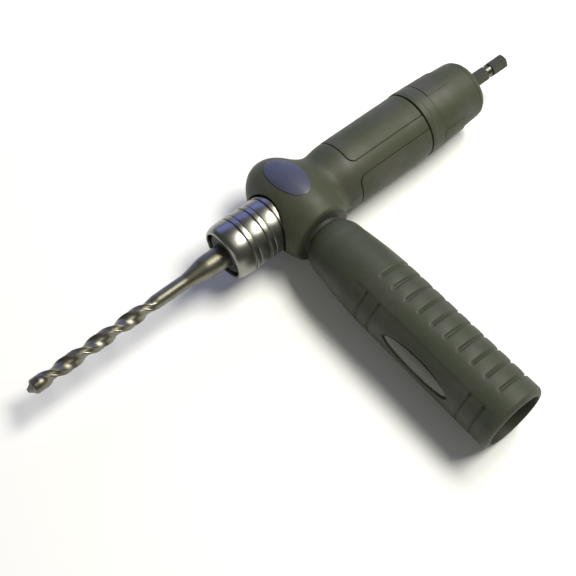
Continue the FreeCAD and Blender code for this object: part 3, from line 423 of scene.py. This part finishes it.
def plastic(name, tone, worn, dust, rough, grain=2600.0, depth=0.03, specular=0.5):
    """Dark moulded plastic or rubber: mould grain, polished patches and a little dust."""
    finish = Finish(name, Specular_IOR_Level=specular)
    grain_out = finish.effect(GRAIN, Scale=grain, Depth=1.0)
    marks = finish.effect(MARKS, Scale=55.0, Amount=1.0)
    base = finish.blend(marks["Polish"], tone, worn)
    dusty = math_node(finish.tree, "MULTIPLY", marks["Dust"], 0.35)
    finish.colour(finish.blend(dusty, base, dust))
    wear = math_node(finish.tree, "MULTIPLY", marks["Polish"], 0.6)
    unworn = math_node(finish.tree, "SUBTRACT", 0.6, wear)
    pits = math_node(finish.tree, "MULTIPLY", grain_out["Pits"], 0.4)
    finish.roughness(math_node(finish.tree, "ADD", unworn, pits, True), *rough)
    finish.bump(grain_out["Height"], depth)
    return finish.material


def metal(name, tone, stain, rough, rings=5000.0, depth=0.004, stain_amount=0.5,
          stain_scale=120.0):
    """Turned or ground metal: lathe rings and a cloudy stain."""
    finish = Finish(name, Metallic=1.0)
    turning = finish.effect(TURNING, Rings=rings, Depth=1.0)
    stains = finish.effect(STAINS, Scale=stain_scale, Amount=stain_amount)
    base = finish.blend(stains["Stain"], tone, stain)
    groove_tone = tuple(0.82 * part for part in tone)
    grooves = math_node(finish.tree, "MULTIPLY", turning["Shade"], 0.35)
    finish.colour(finish.blend(grooves, base, groove_tone))
    dull = [math_node(finish.tree, "MULTIPLY", mask, 0.5)
            for mask in (turning["Shade"], stains["Stain"])]
    finish.roughness(math_node(finish.tree, "ADD", *dull, True), *rough)
    finish.bump(turning["Height"], depth)
    return finish.material


FINISHES = {
    "housing_plastic": plastic("Housing plastic", (0.046, 0.053, 0.029), (0.060, 0.061, 0.045),
                               (0.11, 0.11, 0.10), (0.42, 0.56), specular=0.3),
    "soft_grip": plastic("Soft grip", (0.047, 0.054, 0.029), (0.061, 0.062, 0.046),
                         (0.10, 0.10, 0.09), (0.46, 0.60), grain=3400.0, depth=0.02, specular=0.3),
    "badge_plate": plastic("Badge plate", (0.046, 0.050, 0.085), (0.055, 0.060, 0.096),
                           (0.10, 0.11, 0.15), (0.36, 0.48), grain=6000.0, depth=0.01),
    "handle_rubber": plastic("Handle rubber", (0.043, 0.050, 0.031), (0.056, 0.057, 0.044),
                             (0.10, 0.10, 0.09), (0.44, 0.58), grain=2200.0, specular=0.3),
    "inlay": plastic("Inlay plate", (0.085, 0.087, 0.066), (0.098, 0.099, 0.078),
                     (0.14, 0.14, 0.13), (0.34, 0.48), grain=5000.0, depth=0.01),
    "sleeve_steel": metal("Nickel plate", (0.29, 0.285, 0.255), (0.20, 0.195, 0.165),
                          (0.27, 0.38), depth=0.008),
    "bit_steel": metal("Blued drill steel", (0.22, 0.21, 0.165), (0.10, 0.095, 0.068),
                       (0.34, 0.46), rings=2600.0, depth=0.002, stain_amount=0.7,
                       stain_scale=160.0),
    "shank_steel": metal("Ground steel", (0.13, 0.13, 0.105), (0.08, 0.078, 0.062),
                         (0.26, 0.38)),
    "carbide": metal("Brazed carbide", (0.17, 0.165, 0.15), (0.10, 0.09, 0.08), (0.30, 0.50),
                     rings=3000.0, stain_scale=400.0),
    "bearing_steel": metal("Bearing steel", (0.62, 0.62, 0.61), (0.5, 0.5, 0.49),
                           (0.10, 0.2)),
    "spring_steel": metal("Spring steel", (0.42, 0.42, 0.40), (0.24, 0.22, 0.2), (0.2, 0.35)),
    "bush_bronze": metal("Sintered bronze", (0.52, 0.36, 0.18), (0.3, 0.2, 0.1), (0.35, 0.5)),
    "seal_rubber": plastic("Seal rubber", (0.022, 0.022, 0.021), (0.03, 0.03, 0.028),
                           (0.07, 0.07, 0.065), (0.45, 0.7), grain=5000.0, depth=0.015),
    "insert_brass": metal("Turned brass", (0.66, 0.50, 0.24), (0.45, 0.32, 0.14), (0.2, 0.35)),
}


def dress_frame():
    """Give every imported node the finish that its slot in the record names."""
    for row in frame["record"]["subparts"]:
        node = frame["nodes"][row["node"]]
        for held in node.material_slots:
            held.material = FINISHES[row["material_slot"]]


# ---- housing --------------------------------------------------------------------------------

HUB_RADII = Vector((16.8, 28.0, 17.9))
HUB_MIDDLE_Y = -2.6
HUB_BLEND = 4.5
HANDLE_FACE = 18.55
FACE_BLEND = 1.2
SEAT_RADIUS = 13.1
SEAT_ROUND = 0.5
GRIP_START = -2.0
NECK_ALONG = 14.0
NECK_RADIUS = 14.1
PAD_MIDDLE = -21.5
PAD_HALF = 46.5
PADS = 3
PAD_GAP = 0.4
PAD_CORNER = 3.4
PAD_WALL = 0.2
PAD_FRONT = along_tool("grip_pad_upper")
GRIP_END = along_tool("grip_pad_upper", True)
BED_RADIUS = 14.55
STRIP_RADIUS = 15.28
PAD_RADIUS = 15.4


def hub_gap(point):
    """About how far a point is outside the hub's egg shape."""
    p = Vector((point.x / HUB_RADII.x, (point.y - HUB_MIDDLE_Y) / HUB_RADII.y,
                point.z / HUB_RADII.z))
    q = Vector((p.x / HUB_RADII.x, p.y / HUB_RADII.y, p.z / HUB_RADII.z))
    return p.length * (p.length - 1) / max(q.length, TINY)


def grip_radius(along):
    """The grip tube's radius where it leaves the hub and widens to the pads."""
    return mix(NECK_RADIUS, STRIP_RADIUS, ease(NECK_ALONG, PAD_FRONT - 1, along))


def grip_gap(point):
    """About how far a point is outside the grip tube."""
    return max(math.hypot(point.y, point.z) - grip_radius(point.x), GRIP_START - point.x)


def housing_gap(point):
    """About how far a point is outside the housing.

    The hub flows into the grip, and a flat face with a soft edge cuts it off at the handle.
    """
    hub, grip = hub_gap(point), grip_gap(point)
    h = min(max(0.5 + 0.5 * (grip - hub) / HUB_BLEND, 0), 1)
    body = mix(grip, hub, h) - HUB_BLEND * h * (1 - h)
    face = -HANDLE_FACE - point.y
    h = min(max(0.5 - 0.5 * (face - body) / FACE_BLEND, 0), 1)
    return mix(face, body, h) + FACE_BLEND * h * (1 - h)


def solve(low, high, gap):
    """Where a gap that grows from low to high is nothing, found by halving the range."""
    for _ in range(26):
        middle = (low + high) / 2
        if gap(middle) > 0:
            high = middle
        else:
            low = middle
    return (low + high) / 2


def around_tool(along, angle, radius):
    """The same place as tool_point, in millimetres from the handle's axis."""
    turn = math.radians(angle)
    return Vector((along, -radius * math.sin(turn), radius * math.cos(turn)))


def housing_radius(along, angle):
    """The housing's outer radius at a station and angle."""
    if along > PAD_FRONT - 2:
        return grip_radius(along)
    return solve(4, 36, lambda radius: housing_gap(around_tool(along, angle, radius)))


def housing_front(angle, radius):
    """The station where the hub's front reaches a radius."""
    return -solve(0, 18, lambda ahead: housing_gap(around_tool(-ahead, angle, radius)))


def make_housing():
    """Hub, grip tube and the beds of the three pads, bored through."""
    bed_half = PAD_HALF + math.degrees(PAD_GAP / PAD_RADIUS)
    edge_half = bed_half + PAD_WALL
    spare = 360 / PADS - 2 * edge_half
    columns = []
    for pad in range(PADS):
        middle = PAD_MIDDLE + pad * 360 / PADS
        columns.append((middle - edge_half, "edge", middle))
        columns += [(middle + bed_half * (step / 20 - 1), "bed", middle) for step in range(41)]
        columns.append((middle + edge_half, "edge", middle))
        columns += [(middle + edge_half + spare * step / 10, "strip", middle)
                    for step in range(1, 10)]
    bed_front = PAD_FRONT - PAD_GAP
    rows = [("rim", step / 4) for step in range(4)]
    rows += [("front", (step / 30) ** 1.7) for step in range(31)]
    rows += [("skin", station * 0.75) for station in range(1, 33)]
    rows += [("line", bed_front - 0.05)]
    rows += [("bed", bed_front + 0.45 * step) for step in range(10)]
    rest = bed_front + 4.5
    rows += [("bed", mix(rest, GRIP_END, step / 36)) for step in range(37)]
    rows += [("bore", pair) for pair in (
        (GRIP_END, 13.4), (GRIP_END + 7.8, 13.4), (GRIP_END + 7.8, 12), (11, 12), (11, 11),
        (-1.8, 11), (-1.8, 12), (-4.6, 12), (-4.6, SEAT_RADIUS))]
    fronts = {}

    def front_of(column, angle):
        if column not in fronts:
            fronts[column] = [housing_front(angle, radius)
                              for radius in (SEAT_RADIUS, SEAT_RADIUS + SEAT_ROUND)]
        return fronts[column]

    def where(row, column):
        kind, value = rows[row]
        angle, part, middle = columns[column]
        if kind == "bore":
            return tool_point(value[0], angle, value[1])
        if kind == "rim":
            corner, start = front_of(column, angle)
            t = value
            along = (1 - t) ** 2 * (corner + 0.7) + 2 * t * (1 - t) * corner + t * t * start
            radius = (1 - t * t) * SEAT_RADIUS + t * t * (SEAT_RADIUS + SEAT_ROUND)
            return tool_point(along, angle, radius)
        if kind == "front":
            along = mix(front_of(column, angle)[1], 0, value)
            return tool_point(along, angle, housing_radius(along, angle))
        if kind == "skin":
            return tool_point(value, angle, housing_radius(value, angle))
        sunk = kind == "bed" and part == "bed"
        if part == "strip":
            return tool_point(value, angle, grip_radius(value))
        grow = 0 if sunk else 0.05
        half = math.radians(bed_half) * PAD_RADIUS + grow
        out = math.radians(angle - middle) * PAD_RADIUS
        out, back = round_corner(max(-half, min(half, out)), value - bed_front + grow, half,
                                 PAD_CORNER + PAD_GAP + grow)
        angle = middle + math.degrees(out / PAD_RADIUS)
        along = back + bed_front - grow
        return tool_point(along, angle, BED_RADIUS if sunk else grip_radius(along))

    finished(tube(len(rows), len(columns), where, looped=True), "hub_and_grip", "root",
             "housing_plastic", FINISHES["housing_plastic"], "main_housing")


def grip_pad(middle):
    """A pad bent round the grip, with round corners at its front."""
    half = math.radians(PAD_HALF) * PAD_RADIUS

    def where(a, b):
        out, back = round_corner(a * half, (b + 1) / 2 * (GRIP_END - PAD_FRONT), half, PAD_CORNER)
        return tool_point(PAD_FRONT + back, middle + math.degrees(out / PAD_RADIUS), PAD_RADIUS)

    return plate(40, 44, where, tool_core, 0.8, 0.18)


def make_grip_pads():
    """Three soft pads let into the grip."""
    for number, place in enumerate(("upper", "lower", "side")):
        finished(grip_pad(PAD_MIDDLE + number * 360 / PADS), "soft_pad_" + place, "root",
                 "soft_grip", FINISHES["soft_grip"], "grip_pad_" + place)


# ---- rear cap and badge ---------------------------------------------------------------------

PANEL_MIDDLE = -49.0
PANEL_HALF = 54.0
PANEL_RADIUS = 15.48
PANEL_BEND = 15.2
PANEL_REAR = 87.6
PANEL_REAR_RADIUS = 14.9
PANEL_CORNER = 1.5
PANEL_STEP = 0.45
PANELS = 2
CASING_RADIUS = 15.5
LIP_RADIUS = 15.7
SPIGOT_RADIUS = 13.45
COVER_BED_RADIUS = 14.0
COVER_BED_REAR_RADIUS = 12.8
COVER_FRONT = along_tool("rear_cap_cover")
COVER_REAR = along_tool("rear_cap_cover", True)
CAP_FRONT = along_tool("rear_cap")
CAP_END = along_tool("rear_cap", True)


def make_rear_cap():
    """Rear casing with its screwed lip, tapering body and flat end."""
    outside = [
        (CAP_FRONT, SPIGOT_RADIUS, 0.1), (CAP_FRONT, LIP_RADIUS, 0.25),
        (CAP_FRONT + 2.8, LIP_RADIUS, 0.2), (CAP_FRONT + 3.1, CASING_RADIUS, 0.1),
        (COVER_FRONT - 0.25, CASING_RADIUS, 0.15), (COVER_FRONT - 0.2, COVER_BED_RADIUS, 0),
        (COVER_REAR + 0.05, COVER_BED_REAR_RADIUS, 0), (COVER_REAR + 0.1, 13.75, 0.1),
        (CAP_END, 13.6, 3.3)]
    bore = [(CAP_END, 4.6, 0.3), (98.4, 4.6, 0), (98.4, 9, 0), (92.4, 9, 0), (92.4, 11, 0),
            (85.4, 11, 0), (85.4, 12.5, 0), (74.6, 12.5, 0), (74.6, SPIGOT_RADIUS, 0)]
    finished(turned(outside + bore, tool_point), "rear_casing", "root", "housing_plastic",
             FINISHES["housing_plastic"], "rear_cap")


def cover_panel(middle):
    """A raised panel of the soft skin, which narrows with it and has round rear corners."""
    half = math.radians(PANEL_HALF) * PANEL_BEND
    reach = PANEL_REAR - COVER_FRONT

    def where(a, b):
        out, back = round_corner(a * half, (1 - b) / 2 * (reach - 0.05), half, PANEL_CORNER)
        along = PANEL_REAR - back
        radius = mix(PANEL_RADIUS, PANEL_REAR_RADIUS, (along - COVER_FRONT) / reach)
        return tool_point(along, middle + math.degrees(out / PANEL_BEND), radius)

    return plate(56, 24, where, tool_core, 0.8, 0.14)


def make_cap_cover():
    """Soft skin of the rear casing with its raised panels."""
    skin = turned([
        (COVER_FRONT, COVER_BED_RADIUS, 0), (COVER_FRONT, CASING_RADIUS - PANEL_STEP, 0.15),
        (PANEL_REAR, PANEL_REAR_RADIUS - PANEL_STEP, 0.3), (COVER_REAR, 13.8, 0.12),
        (COVER_REAR, COVER_BED_REAR_RADIUS, 0)], tool_point)
    panels = [cover_panel(PANEL_MIDDLE + number * 360 / PANELS) for number in range(PANELS)]
    finished(joined(skin, *panels), "soft_cap_skin", "root", "soft_grip",
             FINISHES["soft_grip"], "rear_cap_cover")


def make_badge():
    """Plain oval plate on top of the hub."""
    middle = middle_of("badge")
    low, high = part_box("badge")
    half_wide = (high.x - low.x) / 2 / MM
    half_long = (high.y - low.y) / 2 / MM

    def where(a, b):
        u, v = to_disc(a, b)
        along = (middle.x - HUB_X) / MM + u * half_wide
        across = middle.y / MM + v * half_long
        height = solve(5, 24, lambda z: housing_gap(Vector((along, across, z))))
        crown = 0.28 + 0.1 * (1 - u * u - v * v)
        return Vector((HUB_X + along * MM, across * MM, (height + crown) * MM))

    finished(plate(36, 48, where, tool_core, 1.2, 0.22), "oval_badge", "root", "badge_plate",
             FINISHES["badge_plate"], "badge")


# ---- bit holder and bit ---------------------------------------------------------------------

# Rings cut into the sleeve: where each starts, its width, its depth and the sleeve's radius there.
SLEEVE_RINGS = (
    (-30.3, 0.9, 0.75, 12.5), (-27.3, 0.42, 0.35, 12.42), (-22.4, 0.9, 0.75, 12.5),
    (-19.4, 0.42, 0.35, 12.42), (-14.5, 0.9, 0.8, 12.5))
RING_SLOPE = 0.08


def make_sleeve():
    """Sleeve of the bit holder with its turned rings."""
    front = along_tool("chuck_sleeve")
    rear = along_tool("chuck_sleeve", True)
    outline = [(front, 10.2, 0.15), (front, 10.95, 0.25), (front + 0.5, 11.5, 0.3),
               (front + 1.6, 12.05, 0.6), (-34.4, 12.43, 1.0)]
    for start, width, depth, radius in SLEEVE_RINGS:
        outline += [(start, radius, 0.14), (start + RING_SLOPE, radius - depth, 0.08),
                    (start + width - RING_SLOPE, radius - depth, 0.08),
                    (start + width, radius, 0.14)]
    outline += [(rear, 12.45, 0.35), (rear, 11, 0.1), (-18.6, 11, 0), (-18.6, 8.65, 0),
                (-19.8, 8.65, 0), (-27, 10.7, 0), (-29.3, 10.7, 0), (-29.3, 8.2, 0),
                (-31.35, 8.2, 0), (-31.35, 10.2, 0)]
    finished(turned(outline, tool_point, 192), "pull_sleeve", "sleeve_group", "sleeve_steel",
             FINISHES["sleeve_steel"], "chuck_sleeve")


def make_dust_cap():
    """Rubber cap with a folded lip round the bit."""
    outline = [(-36.9, 5.15, 0.1), (-37.2, 5.6, 0.15), (-36.75, 6.2, 0.3), (-37.15, 8.6, 0.4),
               (-36.6, 9.2, 0.3), (-33, 9.8, 0.2), (-33, 8, 0), (-36.5, 8, 0), (-36.5, 5.15, 0)]
    finished(turned(outline, tool_point), "rubber_dust_cap", "drive", "seal_rubber",
             FINISHES["seal_rubber"], "dust_cap")


FLUTE_LEAD = 29.4
FLUTE_HALF = 60.0
FLUTE_END = -66.0
FLUTE_CURVE = 3.2
CUTTING_END = -74
CUTTING_RADIUS = 3.25
WEB_RADIUS = 2.1
BIT_NECK_RADIUS = 3.0
BIT_SHANK_RADIUS = 5.0
HEEL_DEPTH = 0.16


def make_bit():
    """Two-flute masonry bit: fluted part, plain neck, cone and thick shank."""
    tip = along_tool("drill_bit")
    rear = along_tool("drill_bit", True)
    stations = [(tip, 0.0), (tip, 2.0), (tip + 0.6, 3.0), (tip + 1.4, CUTTING_RADIUS)]
    for step in range(int((FLUTE_END - tip) / 0.5)):
        along = tip + 1.5 + 0.5 * step
        stations.append((along, CUTTING_RADIUS if along < CUTTING_END else BIT_NECK_RADIUS))
    stations += [(-57.6, BIT_NECK_RADIUS), (-56.7, 3.05), (-55.8, 3.2), (-48.4, 4.72),
                 (-47.2, 4.93), (-46.2, BIT_SHANK_RADIUS), (-30, BIT_SHANK_RADIUS),
                 (rear - 0.9, BIT_SHANK_RADIUS), (rear, 4.1), (rear, 0.0)]
    columns = 96

    def where(row, column):
        along, radius = stations[row]
        around_bit = column * 360 / columns
        depth = (1 - ease(-77.5, -70.5, along)) * ease(tip + 3.0, tip + 8.5, along)
        from_flute = abs(off_angle(2 * around_bit, 0)) / 2
        share = min(from_flute / FLUTE_HALF, 1)
        hollow = WEB_RADIUS + (radius - WEB_RADIUS) * share ** FLUTE_CURVE
        if from_flute > FLUTE_HALF:
            hollow = radius
        land = around_bit % 180
        heel = HEEL_DEPTH * ease(72, 76, land) * (1 - ease(104, 108, land))
        cut = mix(radius, hollow, depth) - heel * depth
        twist = 360 * (min(along, FLUTE_END) - tip) / FLUTE_LEAD
        return tool_point(along, around_bit + twist, min(cut, radius))

    finished(tube(len(stations), columns, where, looped=False), "fluted_bit", "bit", "bit_steel",
             FINISHES["bit_steel"], "drill_bit")


# ---- side handle ----------------------------------------------------------------------------

HANDLE_NOSE = 20.6
HANDLE_END = -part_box("handle_grip")[0].y / MM
HANDLE_RADIUS = 15.4
STUD_HOLE = 4.08
END_ROUND = 2.5
GROOVE_FIRST = 55.0
GROOVE_PITCH = 7.0
GROOVE_DEPTH = 0.75
GROOVES = 10
FINGER_MIDDLE = -103
SIDE_MIDDLE = 77.0
SIDE_HALF = 39.0
INLAY_ALONG = 87.5
INLAY_LONG = 17.5
INLAY_WIDE = 4.7


def handle_radius(along):
    """The handle's smooth outline: a bullet nose, a long swelling and a straight grip."""
    if along < 30:
        return -0.79 + math.sqrt(max(14 ** 2 - (along - 29.63) ** 2, 0))
    if along < 62:
        return -218.6 + math.sqrt(234 ** 2 - (along - 62.01) ** 2)
    return HANDLE_RADIUS


def leaf(along, out):
    """Below 1 inside the leaf-shaped inlay and above 1 outside it."""
    t = min(abs(along - INLAY_ALONG) / INLAY_LONG, 1.5)
    width = max(1 - t * t, 0) ** 0.62 if t < 1 else 0
    reach = abs(out) / INLAY_WIDE
    return max(t, reach / width if width > 0.02 else 9) if t < 1 else t + reach


def grip_relief(along, angle):
    """How far the handle's surface is below its smooth outline."""
    side = off_angle(angle, SIDE_MIDDLE)
    finger = off_angle(angle, FINGER_MIDDLE)
    relief = 0.0
    first, last = GROOVE_FIRST, GROOVE_FIRST + GROOVE_PITCH * (GROOVES - 1)
    on_fingers = 1 - ease(109, 115, abs(finger))
    on_side = 1 - ease(SIDE_HALF - 2.5, SIDE_HALF + 1, abs(side))
    number = round((along - first) / GROOVE_PITCH)
    if 0 <= number < GROOVES:
        off = abs(along - first - number * GROOVE_PITCH)
        cut = GROOVE_DEPTH * (1 - ease(0.1, 1.0, off))
        relief += cut * on_fingers
        if number in (0, 1, GROOVES - 2, GROOVES - 1):
            relief += cut * on_side
    within = ease(first - 1, first + 1, along) * (1 - ease(last - 1, last + 1, along))
    ridge = abs((along - first) / GROOVE_PITCH % 1 - 0.5) * 2
    relief += 0.22 * ridge ** 2 * on_fingers * within
    panel = ease(47, 50, along) * (1 - ease(121.5, 124, along))
    relief += 0.3 * on_side * panel
    out = math.radians(side) * HANDLE_RADIUS
    if abs(along - INLAY_ALONG) < INLAY_LONG + 2 and abs(out) < INLAY_WIDE + 2:
        relief += 0.85 * (1 - ease(0.97, 1.1, leaf(along, out)))
    return relief


def make_handle_grip():
    """Grip moulding with its finger grooves, smooth spine and sunk leaf."""
    rows = [("bore", HANDLE_NOSE, STUD_HOLE), ("bore", HANDLE_NOSE, 9.2),
            ("bore", HANDLE_NOSE + 0.05, 9.55), ("bore", HANDLE_NOSE + 0.25, 9.85)]
    start, stop = HANDLE_NOSE + 0.5, HANDLE_END - END_ROUND
    fine = 50.0
    rows += [("skin", mix(start, fine, step / 44), 0) for step in range(44)]
    rows += [("skin", mix(fine, stop, step / 210), 0) for step in range(211)]
    rows += [("round", stop, math.radians(90 * step / 9)) for step in range(1, 10)]
    rows += [("bore", HANDLE_END, 12.6), ("bore", HANDLE_END - 0.15, 12.5),
             ("bore", HANDLE_END - 4, 12.5), ("bore", HANDLE_END - 4, 12.2), ("bore", 32, 12.2),
             ("bore", 32, STUD_HOLE)]
    columns = 216

    def where(row, column):
        kind, along, value = rows[row]
        angle = column * 360 / columns
        if kind == "bore":
            return handle_point(along, angle, value)
        if kind == "round":
            return handle_point(along + END_ROUND * math.sin(value), angle,
                                12.9 + END_ROUND * math.cos(value))
        return handle_point(along, angle, handle_radius(along) - grip_relief(along, angle))

    finished(tube(len(rows), columns, where, looped=True), "side_grip", "handle", "soft_grip",
             FINISHES["handle_rubber"], "handle_grip")


def make_inlay():
    """Leaf-shaped plate let into the handle's flank."""
    def where(a, b):
        u, v = to_disc(a, b)
        width = max(1 - u * u, 0) ** 0.12
        along = INLAY_ALONG + u * (INLAY_LONG - 0.9)
        out = v * width * (INLAY_WIDE - 0.85) - 0.35
        crown = 0.12 * (1 - u * u - v * v)
        return handle_point(along, SIDE_MIDDLE + math.degrees(out / HANDLE_RADIUS),
                            14.62 + crown)

    finished(plate(48, 20, where, handle_core, 0.7, 0.15), "leaf_inlay", "handle", "badge_plate",
             FINISHES["inlay"], "handle_inlay")


dress_frame()
make_housing()
make_grip_pads()
make_rear_cap()
make_cap_cover()
make_badge()
make_sleeve()
make_dust_cap()
make_bit()
make_handle_grip()
make_inlay()


# ---- floor, light and camera ----------------------------------------------------------------

def make_floor():
    """Pale tabletop that the tool lies on."""
    bm = bmesh.new()
    bmesh.ops.create_grid(bm, x_segments=8, y_segments=8, size=4)
    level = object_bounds()[0][2] - 0.0001
    for vert in bm.verts:
        vert.co.z = level
    mesh = bpy.data.meshes.new("tabletop")
    bm.to_mesh(mesh)
    bm.free()
    finish = Finish("Pale tabletop", Roughness=0.6, Specular_IOR_Level=0.2)
    cloud = noise_node(finish.tree, finish.place, 3.0, 2.0)
    finish.colour(finish.blend(cloud, (0.90, 0.90, 0.90), (0.93, 0.93, 0.93)))
    mesh.materials.append(finish.material)
    floor = bpy.data.objects.new("tabletop", mesh)
    bpy.context.scene.collection.objects.link(floor)


def add_light(name, toward, distance, size, power, colour):
    """A rectangular soft light that hangs in one direction from the hub and faces it."""
    light = bpy.data.lights.new(name, "AREA")
    light.shape = "RECTANGLE"
    light.size, light.size_y = size
    light.energy = power
    light.color = colour
    lamp = bpy.data.objects.new(name, light)
    way = Vector(toward).normalized()
    lamp.location = Vector((HUB_X, 0, 0)) + way * distance
    lamp.rotation_euler = way.to_track_quat("Z", "Y").to_euler()
    bpy.context.scene.collection.objects.link(lamp)


def make_studio():
    """Overhead softbox, a cool window beyond the tool, a weak card and an even room.

    The room looks pale behind the tabletop but lights the tool only dimly.
    """
    add_light("softbox", (0.46, -0.17, 0.87), 1.1, (0.72, 0.34), 16.5, (1.0, 0.98, 0.89))
    add_light("window", (0.42, 0.80, 0.42), 1.3, (1.6, 0.75), 5.2, (0.30, 0.36, 1.0))
    add_light("side_card", (-0.85, -0.35, 0.32), 1.2, (0.9, 0.5), 1.8, (1.0, 1.0, 0.92))
    world = bpy.data.worlds.new("room")
    world.use_nodes = True
    tree = world.node_tree
    backdrop = tree.nodes["Background"]
    backdrop.inputs["Color"].default_value = (0.94, 0.97, 0.88, 1)
    seen = tree.nodes.new("ShaderNodeLightPath")
    level = tree.nodes.new("ShaderNodeMapRange")
    level.inputs["To Min"].default_value = 0.12
    level.inputs["To Max"].default_value = 0.95
    tree.links.new(seen.outputs["Is Camera Ray"], level.inputs["Value"])
    tree.links.new(level.outputs["Result"], backdrop.inputs["Strength"])
    bpy.context.scene.world = world


def make_camera():
    """Camera above the bit's side, looking down on the tool."""
    camera = bpy.data.cameras.new("camera")
    camera.sensor_width = 36
    camera.lens = 62.133
    camera.clip_start = 0.01
    camera.clip_end = 20
    holder = bpy.data.objects.new("camera", camera)
    right = Vector((0.76584, -0.643, -0.00659))
    up = Vector((0.55784, 0.65923, 0.50421))
    back = Vector((-0.31986, -0.38982, 0.86355))
    place = Matrix.Translation((-0.28087, -0.18424, 0.34391))
    holder.matrix_world = place @ Matrix((right, up, back)).transposed().to_4x4()
    bpy.context.scene.collection.objects.link(holder)
    bpy.context.scene.camera = holder


make_floor()
make_studio()
make_camera()
bpy.context.scene.view_settings.view_transform = "Standard"
